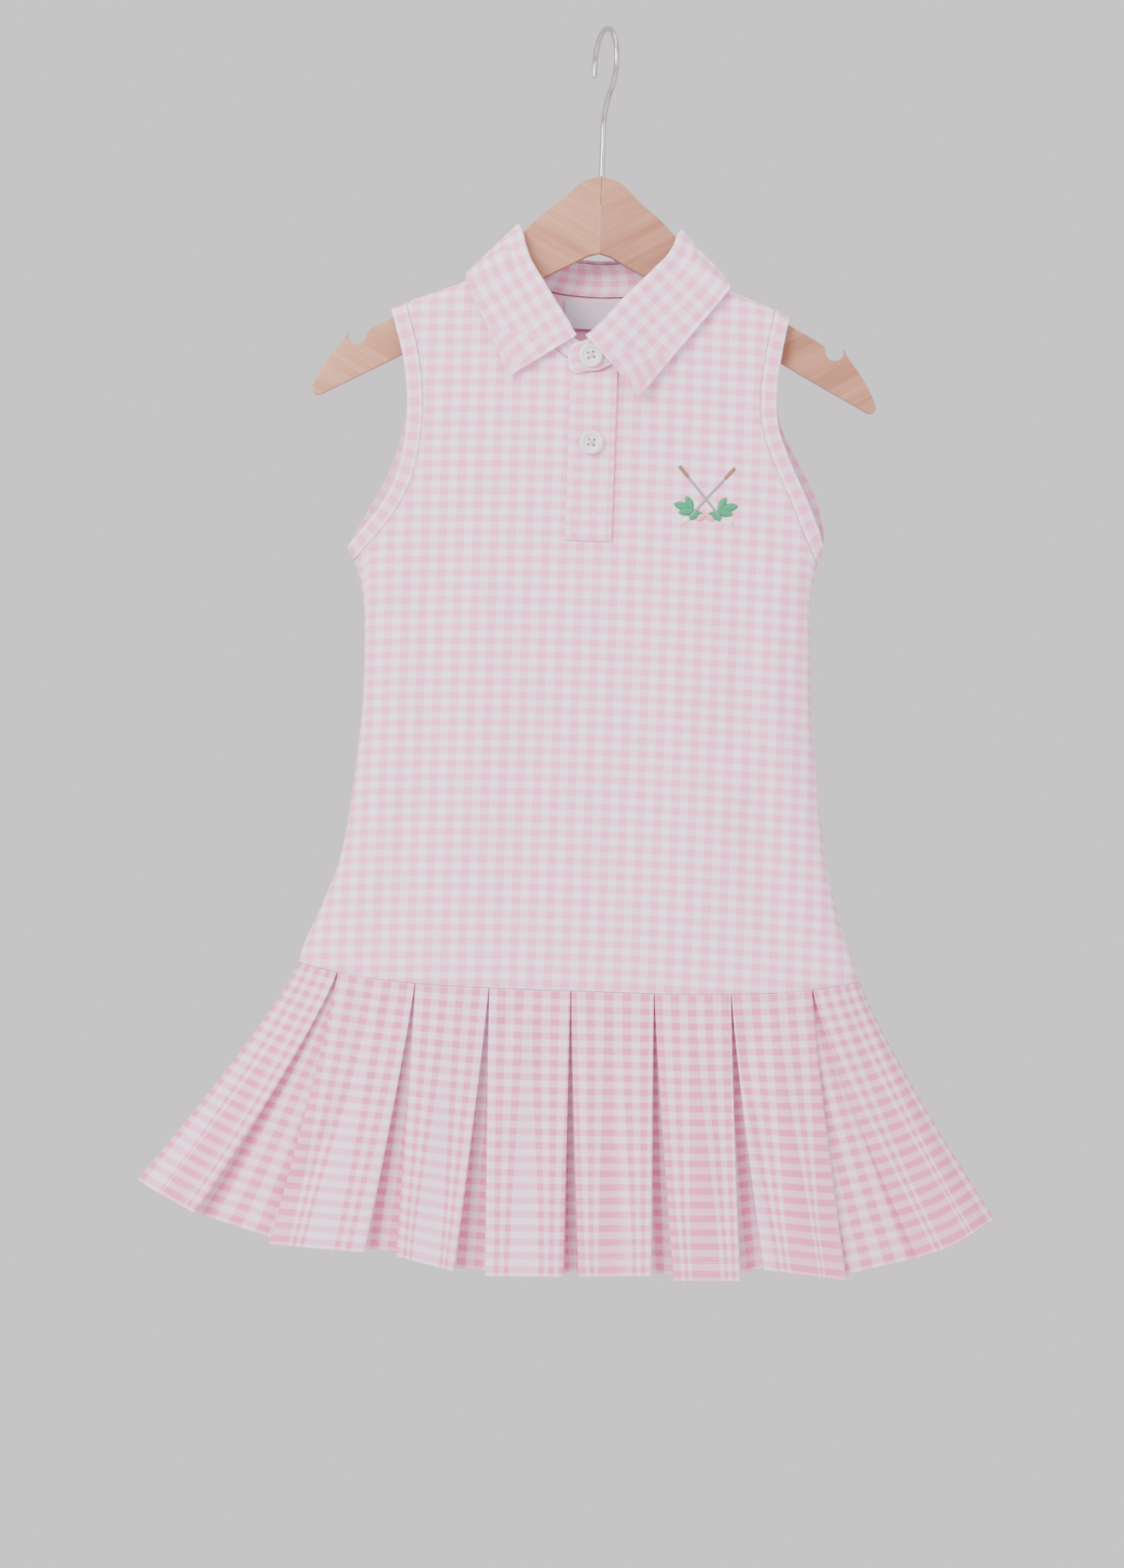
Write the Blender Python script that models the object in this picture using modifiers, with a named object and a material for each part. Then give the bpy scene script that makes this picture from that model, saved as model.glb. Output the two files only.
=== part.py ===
"""A child's sleeveless golf dress with a box-pleated skirt, hanging on its wooden hanger.

Metres, +Z up. The origin is the inner top of the hanger's hook, by which it all hangs. The front
faces -Y. Every cloth piece is a thin wall on one form, a flattened tube whose half widths and depths
stand in the tables below. What lies on a panel is that form moved out.
"""

import math
from collections import namedtuple

import bmesh
import bpy
from mathutils import Matrix, Vector

# Walls and seams
BODICE_WALL = 0.0012
SKIRT_WALL = 0.0010
BAND_WALL = 0.0018
STAND_WALL = 0.0012
LEAF_WALL = 0.0014
PLACKET_WALL = 0.0014
LABEL_WALL = 0.0010
SEAM = 0.0003
HALF_SEAM = 0.00022

# The form: half widths and depths of the tube from the waist seam up, by height
Girth = namedtuple("Girth", "z left right front back")
GIRTHS = [
    Girth(-0.600, 0.1715, 0.1785, 0.0260, 0.0240),
    Girth(-0.580, 0.1705, 0.1765, 0.0255, 0.0235),
    Girth(-0.556, 0.1610, 0.1665, 0.0250, 0.0230),
    Girth(-0.523, 0.1490, 0.1570, 0.0240, 0.0220),
    Girth(-0.494, 0.1435, 0.1513, 0.0232, 0.0212),
    Girth(-0.456, 0.1398, 0.1463, 0.0222, 0.0205),
    Girth(-0.421, 0.1372, 0.1420, 0.0212, 0.0200),
    Girth(-0.380, 0.1375, 0.1398, 0.0200, 0.0190),
    Girth(-0.354, 0.1398, 0.1390, 0.0190, 0.0180),
    Girth(-0.335, 0.1455, 0.1410, 0.0180, 0.0170),
    Girth(-0.326, 0.1501, 0.1430, 0.0175, 0.0168),
    Girth(-0.316, 0.1530, 0.1475, 0.0170, 0.0165),
    Girth(-0.250, 0.1580, 0.1560, 0.0160, 0.0155),
    Girth(-0.140, 0.1640, 0.1640, 0.0150, 0.0150),
]
FULLNESS = 3.0  # exponent of the section: 2 is an ellipse, more is boxier
NECK_SWELL = 0.0070  # how far the stiff collar pushes the front forward
NECK_SWELL_WIDTH = 0.055
NECK_SWELL_HEIGHT = 0.060
NECK_SWELL_Z = -0.200
NECK_SWELL_BEHIND = 0.3  # the share of that swell at the back

# The shoulder line that lies along the hanger, by distance from the centre
Shoulder = namedtuple("Shoulder", "x z")
SHOULDERS = [
    Shoulder(0.040, -0.1240),
    Shoulder(0.064, -0.1435),
    Shoulder(0.082, -0.1580),
    Shoulder(0.1126, -0.1705),
    Shoulder(0.1185, -0.1735),
    Shoulder(0.1300, -0.1778),
    Shoulder(0.1400, -0.1815),
]
SHOULDER_ROUND = 0.014  # height over which the cloth turns over the hanger

# The armhole seam from the underarm up to the shoulder, one row for each mark
Armhole = namedtuple("Armhole", "left_x left_z right_x right_z back_out")
ARMHOLES = [
    Armhole(0.1455, -0.3350, 0.1425, -0.3275, 0.0000),
    Armhole(0.1330, -0.3205, 0.1340, -0.3110, 0.0030),
    Armhole(0.1200, -0.3030, 0.1240, -0.2890, 0.0070),
    Armhole(0.1105, -0.2810, 0.1140, -0.2685, 0.0060),
    Armhole(0.1062, -0.2560, 0.1055, -0.2465, 0.0030),
    Armhole(0.1058, -0.2320, 0.1032, -0.2240, 0.0005),
    Armhole(0.1095, -0.2050, 0.1053, -0.1990, 0.0000),
    Armhole(0.1185, -0.1735, 0.1105, -0.1697, 0.0000),
]
BAND_WIDTH = 0.0102
ARMHOLE_STEP = 0.02  # the share along the seam over which its direction is taken
ARMHOLE_END = 0.2  # the share over which the band turns into the underarm and the shoulder
UNDERARM_WAY = (0.45, 0.89)  # which way the band lies off the seam at the underarm

# The neck seam: a ring that dips in front
NECK_HALF_WIDTH = 0.064
NECK_FRONT_Z = -0.2140
NECK_SIDE_Z = -0.1435
NECK_BACK_Z = -0.1650
NECK_CURVE = 0.65

# The collar's fold, the upper ring, by degrees round the neck from the front middle to the right
FOLD_HALF_WIDTH = 0.0495
FOLD_FRONT_DEPTH = 0.0215
FOLD_BACK_DEPTH = 0.0165
Fold = namedtuple("Fold", "angle z")
FOLDS = [
    Fold(-22, -0.1970),
    Fold(-6, -0.1935),
    Fold(6, -0.1840),
    Fold(24, -0.1665),
    Fold(45, -0.1510),
    Fold(63, -0.1410),
    Fold(78, -0.1325),
    Fold(90, -0.1265),
    Fold(106, -0.1310),
    Fold(135, -0.1385),
    Fold(180, -0.1440),
    Fold(225, -0.1385),
    Fold(254, -0.1310),
    Fold(270, -0.1265),
    Fold(282, -0.1340),
    Fold(297, -0.1460),
    Fold(315, -0.1605),
    Fold(336, -0.1830),
    Fold(344, -0.1930),
    Fold(360, -0.1975),
    Fold(375, -0.1985),
]
OVERLAP_OUT = 0.0023  # the buttoned end lies this far outside the other
OVERLAP_END_X = -0.0172
UNDERLAP_END_X = 0.0120
OVERLAP_FROM = 9  # degrees round to the right where the outer end starts to lie flat again
OVERLAP_TURN = 40  # degrees over which it does so
OVERLAP_DROOP = 0.0125
STAND_END_ROUND = 0.0060
STAND_TUCK = 0.010  # how fast the stand moves in under the form away from the shoulders
STAND_FOOT_MIDDLE = 0.04  # the share of its height at which the stand starts above the seam
STAND_FOOT_SIDE = 0.10

# The collar leaf: where each point lies, and the outer edge between
LEAF_OUT = 0.0046
LEAF_ROLL_OUT = 0.0046
LEAF_ROLL_UP = 0.0024
LEAF_OVER_BUTTON = 0.0034
LEAF_OVER_BUTTON_Z = -0.1970
LEAF_OVER_BUTTON_WIDTH = 0.0200
LEAF_EDGE_Z = -0.1900
LEAF_EDGE_ROUND = 0.4
LEAF_LIES_FROM = 0.3  # how far down the leaf lies on the bodice
LEAF_BACK_ROUND = 0.7
LEAF_SHOULDER_X = 0.0818
LEAF_SHOULDER_Z = -0.1530
LeafEnd = namedtuple("LeafEnd", "side fold_angle drop lean")
LEAF_RIGHT = LeafEnd(1, -6, 0.0752, 0.777)
LEAF_LEFT = LeafEnd(-1, 344, 0.0706, 0.486)
LEAF_STRAIGHT_Z = -0.1590
LEAF_ROLL_SHARE = 0.05
LEAF_BACK_DROP = 0.0270

# The placket and its buttons
PLACKET_LEFT = -0.0150
PLACKET_RIGHT = 0.0140
PLACKET_FOOT_Z = -0.3180
PLACKET_TOP_Z = -0.2147
PLACKET_TOP_SLOPE = 0.30
BUTTON_RADIUS = 0.0074
BUTTON_THICKNESS = 0.0026
BUTTON_DISH = 0.0050
BUTTON_HOLE_RADIUS = 0.0008
BUTTON_HOLE_SPACING = 0.0016
BUTTON_GAP = 0.0004
BUTTON_ROUND = 0.0008
BUTTON_FOOT_ROUND = 0.0012
BUTTON_DISH_DEPTH = 0.0007
COLLAR_BUTTON = (-0.0029, -0.2035)
PLACKET_BUTTON = (-0.0007, -0.2569)

# The label inside the back neck
LABEL_LEFT = -0.0205
LABEL_RIGHT = 0.0240
LABEL_TOP_Z = -0.1668
LABEL_FOOT_Z = -0.1848

# The waist seam and the pleated skirt
WAIST_Z = -0.5965
WAIST_RISE = 0.0115
WAIST_BEND = 4
HEM_FULLNESS = 2.2
HEM_DEPTH_FRONT = 0.0480
HEM_DEPTH_BACK = 0.0450
PLEAT_UNDER_TOP = 0.0150
PLEAT_UNDER_HEM = 0.0070
PLEAT_RETURN = 2 * SKIRT_WALL + 0.0004  # how deep a panel's folded-back cloth lies
PLEAT_BACKING = PLEAT_RETURN + 0.0006  # how deep the backing between two panels lies
PLEAT_TURN_HEM = 0.0012
PLEAT_BACKING_LIFT = 0.0015  # how much shorter the backing hangs
PLEAT_SIDE_SHARE = 0.35  # of the way to the side seam that a pleat may reach under
FLARE = 1.15  # exponent of the way an edge swings out from seam to hem
Pleat = namedtuple("Pleat", "seam_x hem_left_x hem_left_z hem_right_x hem_right_z hem_deep")
FRONT_PLEATS = [
    Pleat(-0.1465, -0.2290, -0.7420, -0.1819, -0.7585, 0.0110),
    Pleat(-0.0981, -0.1230, -0.7610, -0.1031, -0.7625, 0.0150),
    Pleat(-0.0522, -0.0672, -0.7705, -0.0481, -0.7725, 0.0170),
    Pleat(-0.0015, 0.0000, -0.7715, 0.0092, -0.7710, 0.0150),
    Pleat(0.0500, 0.0540, -0.7690, 0.0680, -0.7715, 0.0160),
    Pleat(0.0978, 0.1087, -0.7705, 0.1232, -0.7630, 0.0150),
    Pleat(0.1480, 0.1740, -0.7685, 0.2180, -0.7540, 0.0070),
]
BACK_PLEATS = [
    Pleat(-0.1465, -0.2150, -0.7480, -0.1830, -0.7590, 0.0110),
    Pleat(-0.0985, -0.1235, -0.7650, -0.1085, -0.7670, 0.0150),
    Pleat(-0.0500, -0.0655, -0.7700, -0.0515, -0.7715, 0.0160),
    Pleat(-0.0005, -0.0070, -0.7720, 0.0060, -0.7720, 0.0160),
    Pleat(0.0495, 0.0530, -0.7715, 0.0660, -0.7700, 0.0150),
    Pleat(0.0985, 0.1095, -0.7670, 0.1250, -0.7650, 0.0160),
    Pleat(0.1480, 0.1850, -0.7610, 0.2170, -0.7520, 0.0110),
]
HEM_LEFT_X = -0.2670
HEM_LEFT_Z = -0.7240
HEM_RIGHT_X = 0.2670
HEM_RIGHT_Z = -0.7300
SIDE_TURN = 0.0030  # depth over which a skirt side runs straight back to its seam
SIDE_STEP = 0.0002  # how far in from the seam that turn starts
SIDE_PANEL_SEAM = 0.0035  # where the first fold line lies in from the side, at seam and hem
SIDE_PANEL_HEM = 0.0090
SIDE_PANEL_LEFT_DROP = 0.0040
SIDE_PANEL_RIGHT_DROP = 0.0050
SIDE_HEM_SAG = 0.0030

# The hanger: half outline from the centre to the tip and back, and its thickness
HANGER_THICKNESS = 0.0110
HANGER_ROUND = 0.0028
Mark = namedtuple("Mark", "x z")
HANGER_TOP = [
    Mark(0.0000, -0.0907),
    Mark(0.0120, -0.0948),
    Mark(0.0245, -0.1064),
    Mark(0.0370, -0.1165),
    Mark(0.0490, -0.1290),
    Mark(0.0560, -0.1380),
    Mark(0.0640, -0.1484),
    Mark(0.0740, -0.1550),
    Mark(0.0860, -0.1624),
    Mark(0.1000, -0.1688),
    Mark(0.1150, -0.1767),
    Mark(0.1300, -0.1848),
    Mark(0.1405, -0.1905),
]
NOTCH_X = 0.1485
NOTCH_Z = -0.1945
NOTCH_RADIUS = 0.0058
HANGER_END = [
    Mark(0.1570, -0.1985),
    Mark(0.1655, -0.2095),
    Mark(0.1720, -0.2205),
    Mark(0.1752, -0.2275),
    Mark(0.1742, -0.2318),
    Mark(0.1700, -0.2318),
]
HANGER_BOTTOM = [
    Mark(0.1180, -0.2040),
    Mark(0.0380, -0.1570),
    Mark(0.0190, -0.1468),
    Mark(0.0060, -0.1400),
    Mark(0.0000, -0.1384),
]

# The hook
WIRE_RADIUS = 0.0017
HOOK_INNER_RADIUS = 0.0200
HOOK_YAW = math.radians(18)
HOOK_FRONT_ANGLE = -50
HOOK_TIP_ANGLE = 198
HOOK_BEND_Z = -0.0600
HOOK_FOOT_Z = -0.1080
HOOK_BEND_UP = 0.0110  # how straight the wire leaves its shank and reaches its ring
HOOK_BEND_BACK = 0.0090
HOOK_BEND_STEPS = 8
HOOK_RING_STEPS = 20
HOOK_BORE_RADIUS = 0.0020
HOOK_BORE_DEPTH = 0.0190

# How finely each sheet is divided
SHOULDER_SHARES = [0.0, 0.004, 0.02, 0.06, 0.10, 0.15]
SIDE_DEGREES = [90, 88.5, 86, 82, 76]  # where a ring turns round the hanger
FRONT_DEGREES = [68, 58, 47, 36, 27, 18, 9, 0]
BACK_DEGREES = [68, 54, 36, 18, 0]
SKIRT_ROWS = [0.0, 0.05, 0.17, 0.33, 0.5, 0.67, 0.84, 1.0]
UNDERARM = 0.58  # the share of a bodice's height where its side seam ends
SHOULDER_SHARE = 0.2  # the share of a bodice's top that each shoulder takes
SIDE_REACH = 0.25  # how far across the curve of a side bends the weave
SIDE_ROWS = [0.0, 0.10, 0.20, 0.30, 0.40, 0.49, 0.55]
ARMHOLE_SHARES = [
    0.0, 0.008, 0.03, 0.09, 0.19, 0.32, 0.47, 0.62, 0.77, 0.88, 0.95, 0.985, 0.996, 0.9993, 1.0,
]

# Colours
PINK = (0.84, 0.53, 0.63, 1.0)
DEEP_PINK = (0.80, 0.47, 0.58, 1.0)
PALE_LILAC = (0.80, 0.76, 0.83, 1.0)
PEARL = (0.82, 0.79, 0.82, 1.0)
BEECH = (0.55, 0.30, 0.19, 1.0)
STEEL = (0.62, 0.61, 0.60, 1.0)


def mix(a, b, share):
    return a + (b - a) * share


def limit(value):
    return min(1.0, max(0.0, value))


def ease(value):
    value = limit(value)
    return value * value * (3 - 2 * value)


def curve_at(rows, key, field, at):
    """The smooth value of one column where another has the value at."""
    keys = [getattr(row, key) for row in rows]
    values = [getattr(row, field) for row in rows]
    last = len(keys) - 1
    at = min(max(at, keys[0]), keys[-1])
    i = next(k for k in range(last) if at <= keys[k + 1])

    def slope(k):
        low, high = max(k - 1, 0), min(k + 1, last)
        return (values[high] - values[low]) / (keys[high] - keys[low])

    span = keys[i + 1] - keys[i]
    t = (at - keys[i]) / span
    bend_in, bend_out = slope(i) * span, slope(i + 1) * span
    low, high = values[i], values[i + 1]
    rise = 3 * (high - low) - 2 * bend_in - bend_out
    fall = 2 * (low - high) + bend_in + bend_out
    return low + t * (bend_in + t * (rise + t * fall))


def path_at(rows, field, share):
    """The smooth value of a column at a share of the way through its rows."""
    Step = namedtuple("Step", "at value")
    steps = [Step(i / (len(rows) - 1), getattr(row, field)) for i, row in enumerate(rows)]
    return curve_at(steps, "at", "value", share)


def full(share, power=FULLNESS):
    """The depth of a flattened tube's section at a share of its half width."""
    return max(0.0, 1 - min(1.0, abs(share)) ** power) ** (1 / power)


def half_width(x, z):
    return curve_at(GIRTHS, "z", "left" if x < 0 else "right", z)


def shoulder_z(x):
    x = abs(x)
    first, second = SHOULDERS[0], SHOULDERS[1]
    if x < first.x:
        return first.z + (first.x - x) * (first.z - second.z) / (second.x - first.x)
    return curve_at(SHOULDERS, "x", "z", x)


def form_y(x, z, face, out=0.0):
    """The form's y over a place seen from the front. Face is -1 in front and 1 behind."""
    depth = curve_at(GIRTHS, "z", "front" if face < 0 else "back", z) + out
    swell = NECK_SWELL * math.exp(
        -((x / NECK_SWELL_WIDTH) ** 2) - ((z - NECK_SWELL_Z) / NECK_SWELL_HEIGHT) ** 2
    )
    depth += swell if face < 0 else NECK_SWELL_BEHIND * swell
    across = full(x / (half_width(x, z) + out))
    below = (shoulder_z(x) + out - z) / SHOULDER_ROUND
    return face * max(HALF_SEAM, depth * across * full(1 - limit(below)))


def form_point(x, z, face, out=0.0):
    return Vector((x, form_y(x, z, face, out), z))


def form_normal(x, z, face, out=0.0):
    step = 0.002
    across = form_point(x + step, z, face, out) - form_point(x - step, z, face, out)
    up = form_point(x, z + step, face, out) - form_point(x, z - step, face, out)
    normal = across.cross(up).normalized()
    return normal if normal.y * face > 0 else -normal


def armhole_seam(side, face, share):
    """The place (x, z) on an armhole's seam. Side is -1 on the left and 1 on the right."""
    name = "left" if side < 0 else "right"
    x = path_at(ARMHOLES, name + "_x", share)
    if face > 0:
        x += path_at(ARMHOLES, "back_out", share)
    return Vector((side * x, path_at(ARMHOLES, name + "_z", share)))


def armhole_edge(side, face, share, width):
    """The place (x, z) at a distance outside the armhole's seam."""
    low = armhole_seam(side, face, max(0.0, share - ARMHOLE_STEP))
    high = armhole_seam(side, face, min(1.0, share + ARMHOLE_STEP))
    along = (high - low).normalized()
    out = Vector((-along.y, along.x)) if side < 0 else Vector((along.y, -along.x))
    underarm = Vector((side * UNDERARM_WAY[0], UNDERARM_WAY[1]))
    tip_x = abs(armhole_seam(side, face, 1.0).x)
    over_shoulder = Vector((side * width, shoulder_z(tip_x + width) - shoulder_z(tip_x))).normalized()
    if share < ARMHOLE_END:
        out = out.lerp(underarm, ease(1 - share / ARMHOLE_END)).normalized()
    if share > 1 - ARMHOLE_END:
        out = out.lerp(over_shoulder, ease(1 - (1 - share) / ARMHOLE_END)).normalized()
    return armhole_seam(side, face, share) + out * width


def neck_z(angle, face):
    """Height of the neck seam at an angle from the middle, in radians."""
    turn = 1 - abs(math.cos(angle))
    if face < 0:
        return mix(NECK_FRONT_Z, NECK_SIDE_Z, turn**NECK_CURVE)
    return mix(NECK_BACK_Z, NECK_SIDE_Z, turn)


def waist_z(x):
    return WAIST_Z + WAIST_RISE * abs(x / half_width(x, WAIST_Z)) ** WAIST_BEND


def side_edge(side, face, share):
    """The place (x, z) up a bodice's side: its side seam, then its armhole seam."""
    if share > UNDERARM:
        return armhole_seam(side, face, (share - UNDERARM) / (1 - UNDERARM))
    top = armhole_seam(side, face, 0.0).y
    z = mix(WAIST_Z + WAIST_RISE, top, share / UNDERARM)
    return Vector((side * half_width(side, z), z))


def top_edge(face, share):
    """The place (x, z) along a bodice's top: shoulder, neck seam, shoulder."""
    side = -1 if share < 0.5 else 1
    from_side = min(share, 1 - share)
    if from_side < SHOULDER_SHARE:
        tip = armhole_seam(side, face, 1.0)
        x = mix(tip.x, side * NECK_HALF_WIDTH, from_side / SHOULDER_SHARE)
        return Vector((x, shoulder_z(x)))
    turn = (share - 0.5) / (0.5 - SHOULDER_SHARE)
    angle = turn * math.pi / 2
    return Vector((NECK_HALF_WIDTH * math.sin(angle), neck_z(angle, face)))


def bodice_place(face, u, v):
    """A bodice panel's point at a share u across and a share v up."""
    turned = math.cos(math.pi * u)
    narrow = (1 - math.copysign(abs(turned) ** (2 / FULLNESS), turned)) / 2
    u_here = mix(narrow, u, ease((v - UNDERARM + 0.04) / 0.12))
    left, right = side_edge(-1, face, v), side_edge(1, face, v)
    low_left, low_right = side_edge(-1, face, 0.0), side_edge(1, face, 0.0)
    foot_x = mix(low_left.x, low_right.x, u_here)
    foot = Vector((foot_x, waist_z(foot_x)))
    top = top_edge(face, u_here)
    top_left, top_right = top_edge(face, 0.0), top_edge(face, 1.0)
    place = foot.lerp(top, v)
    place += (left - low_left.lerp(top_left, v)) * max(0.0, 1 - u_here / SIDE_REACH) ** 1.5
    place += (right - low_right.lerp(top_right, v)) * max(0.0, 1 - (1 - u_here) / SIDE_REACH) ** 1.5
    on_seam = v <= UNDERARM and u in (0.0, 1.0)
    on_shoulder = v == 1.0 and abs(u - 0.5) >= 0.5 - SHOULDER_SHARE
    if on_seam or on_shoulder:
        return Vector((place.x, face * HALF_SEAM, place.y))
    return form_point(place.x, place.y, face)


def cloth(name, columns, rows, place, wall, material, flipped=False, outward=False, closed=False, even=True):
    """A sheet of cloth: a grid moved to its form, with a wall on its inner or outer side."""
    mesh = bpy.data.meshes.new(name)
    grid = bmesh.new()
    bmesh.ops.create_grid(grid, x_segments=len(columns) - 1, y_segments=len(rows) - 1, size=1)
    for vertex in grid.verts:
        column = round((vertex.co.x + 1) / 2 * (len(columns) - 1))
        row = round((vertex.co.y + 1) / 2 * (len(rows) - 1))
        vertex.co = place(columns[column], rows[row])
    if closed:
        bmesh.ops.remove_doubles(grid, verts=grid.verts, dist=1e-6)
    if flipped:
        bmesh.ops.reverse_faces(grid, faces=grid.faces)
    grid.to_mesh(mesh)
    grid.free()
    piece = bpy.data.objects.new(name, mesh)
    parts.objects.link(piece)
    piece.data.materials.append(material)
    shell = piece.modifiers.new("wall", "SOLIDIFY")
    shell.thickness = wall
    shell.offset = 1 if outward else -1
    shell.use_even_offset = even
    return piece


def finish(name, colour, roughness, metallic=0.0):
    material = bpy.data.materials.new(name)
    material.use_nodes = True
    shader = material.node_tree.nodes["Principled BSDF"]
    shader.inputs["Base Color"].default_value = colour
    shader.inputs["Roughness"].default_value = roughness
    shader.inputs["Metallic"].default_value = metallic
    return material


def make_bodice(name, face, material):
    degrees = SIDE_DEGREES + (FRONT_DEGREES if face < 0 else BACK_DEGREES)
    left = SHOULDER_SHARES + [0.5 - (0.5 - SHOULDER_SHARE) * d / 90 for d in degrees]
    columns = left + [1 - share for share in reversed(left[:-1])]
    rows = SIDE_ROWS + [mix(UNDERARM, 1.0, share) for share in ARMHOLE_SHARES]
    cloth(
        name, columns, rows, lambda u, v: bodice_place(face, u, v), BODICE_WALL, material,
        flipped=face > 0, even=False,
    )


def hem_y(x, face):
    """The hem's y where the panels' outer faces lie."""
    width = HEM_RIGHT_X if x > 0 else -HEM_LEFT_X
    depth = HEM_DEPTH_FRONT if face < 0 else HEM_DEPTH_BACK
    return face * max(HALF_SEAM, depth * full(x / width, HEM_FULLNESS))


def skirt_columns(face):
    """Every fold line of a skirt, left to right: its seam place, its hem place and its depths."""
    Line = namedtuple("Line", "seam_x hem_x hem_z seam_in hem_in at_side")
    pleats = FRONT_PLEATS if face < 0 else BACK_PLEATS
    left_x, right_x = -half_width(-1, WAIST_Z), half_width(1, WAIST_Z)
    lines = [
        Line(left_x, HEM_LEFT_X, HEM_LEFT_Z, 0, 0, True),
        Line(left_x + SIDE_STEP, HEM_LEFT_X + SIDE_STEP, HEM_LEFT_Z, 0, 0, True),
        Line(
            left_x + SIDE_PANEL_SEAM, HEM_LEFT_X + SIDE_PANEL_HEM, HEM_LEFT_Z - SIDE_PANEL_LEFT_DROP,
            0, 0, False,
        ),
    ]
    for pleat in pleats:
        low, high = pleat.seam_x - HALF_SEAM, pleat.seam_x + HALF_SEAM
        left, right = pleat.hem_left_x, pleat.hem_right_x
        before = lines[-1]
        mid_seam = (before.seam_x + low) / 2
        mid_hem = (before.hem_x + left) / 2
        lines.append(Line(mid_seam, mid_hem, (before.hem_z + pleat.hem_left_z) / 2, 0, 0, False))
        under_left = min(PLEAT_UNDER_TOP, PLEAT_SIDE_SHARE * (low - left_x))
        under_right = min(PLEAT_UNDER_TOP, PLEAT_SIDE_SHARE * (right_x - high))
        z_left, z_right = pleat.hem_left_z, pleat.hem_right_z
        back_left, back_right = low - under_left, high + under_right
        hem_back_left, hem_back_right = left - PLEAT_UNDER_HEM, right + PLEAT_UNDER_HEM
        z_back_left, z_back_right = z_left + PLEAT_BACKING_LIFT, z_right + PLEAT_BACKING_LIFT
        deep, turned = pleat.hem_deep, pleat.hem_deep - PLEAT_TURN_HEM
        lines += [
            Line(low, left, z_left, 0, 0, False),
            Line(low, left + SEAM, z_left, PLEAT_RETURN, PLEAT_BACKING, False),
            Line(back_left, hem_back_left, z_back_left, PLEAT_RETURN, turned, False),
            Line(back_left, hem_back_left, z_back_left, PLEAT_BACKING, deep, False),
            Line(back_right, hem_back_right, z_back_right, PLEAT_BACKING, deep, False),
            Line(back_right, hem_back_right, z_back_right, PLEAT_RETURN, turned, False),
            Line(high, right - SEAM, z_right, PLEAT_RETURN, PLEAT_BACKING, False),
            Line(high, right, z_right, 0, 0, False),
        ]
    before = lines[-1]
    mid_x = (before.seam_x + right_x) / 2
    mid_hem = (before.hem_x + HEM_RIGHT_X) / 2
    lines += [
        Line(mid_x, mid_hem, (before.hem_z + HEM_RIGHT_Z) / 2 - SIDE_HEM_SAG, 0, 0, False),
        Line(
            right_x - SIDE_PANEL_SEAM, HEM_RIGHT_X - SIDE_PANEL_HEM, HEM_RIGHT_Z - SIDE_PANEL_RIGHT_DROP,
            0, 0, False,
        ),
        Line(right_x - SIDE_STEP, HEM_RIGHT_X - SIDE_STEP, HEM_RIGHT_Z, 0, 0, True),
        Line(right_x, HEM_RIGHT_X, HEM_RIGHT_Z, 0, 0, True),
    ]
    return lines


def skirt_place(face, lines, u, v):
    """A skirt's point on one of its fold lines, at a share v down from the waist seam."""
    index = round(u * (len(lines) - 1))
    line = lines[index]
    top_z = waist_z(line.seam_x) - SEAM
    x = mix(line.seam_x, line.hem_x, v**FLARE)
    z = mix(top_z, line.hem_z, v)
    if line.at_side:
        turn = HALF_SEAM if index in (0, len(lines) - 1) else SIDE_TURN
        return Vector((x, face * turn, z))
    top_y = form_y(line.seam_x, WAIST_Z, face)
    y = mix(top_y, hem_y(line.hem_x, face), v) - face * mix(line.seam_in, line.hem_in, v)
    return Vector((x, y, z))


def make_skirt(name, face, material):
    lines = skirt_columns(face)
    columns = [i / (len(lines) - 1) for i in range(len(lines))]
    rows = [1 - row for row in reversed(SKIRT_ROWS)]
    cloth(
        name, columns, rows, lambda u, v: skirt_place(face, lines, u, 1 - v), SKIRT_WALL, material,
        flipped=face > 0,
    )


def band_place(side, round_share, v):
    """An armhole band's point: once round from the underarm up the front, and v across it."""
    face = -1 if round_share < 0.5 else 1
    up = 1 - abs(2 * round_share - 1)
    place = armhole_edge(side, face, up, mix(SEAM, BAND_WIDTH, v))
    if up in (0.0, 1.0):
        return Vector((place.x, 0.0, place.y))
    return form_point(place.x, place.y, face)


def make_band(name, side, material):
    ups = ARMHOLE_SHARES
    columns = [up / 2 for up in ups] + [1 - up / 2 for up in reversed(ups[:-1])]
    cloth(
        name, columns, [0.0, 0.5, 1.0], lambda u, v: band_place(side, u, v), BAND_WALL, material,
        flipped=side > 0, closed=True,
    )


def fold_point(degrees):
    """The collar's fold at an angle round the neck, on the stand's inner face."""
    angle = math.radians(degrees)
    forward = math.cos(angle)
    depth = FOLD_FRONT_DEPTH if forward > 0 else FOLD_BACK_DEPTH
    y = -math.copysign(depth * math.sqrt(abs(forward)), forward)
    return Vector((FOLD_HALF_WIDTH * math.sin(angle), y, curve_at(FOLDS, "angle", "z", degrees)))


def overlap_out(degrees):
    """How far out the buttoned end lies at an angle round the neck."""
    return OVERLAP_OUT * (1 - ease((degrees - OVERLAP_FROM) / OVERLAP_TURN))


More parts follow.
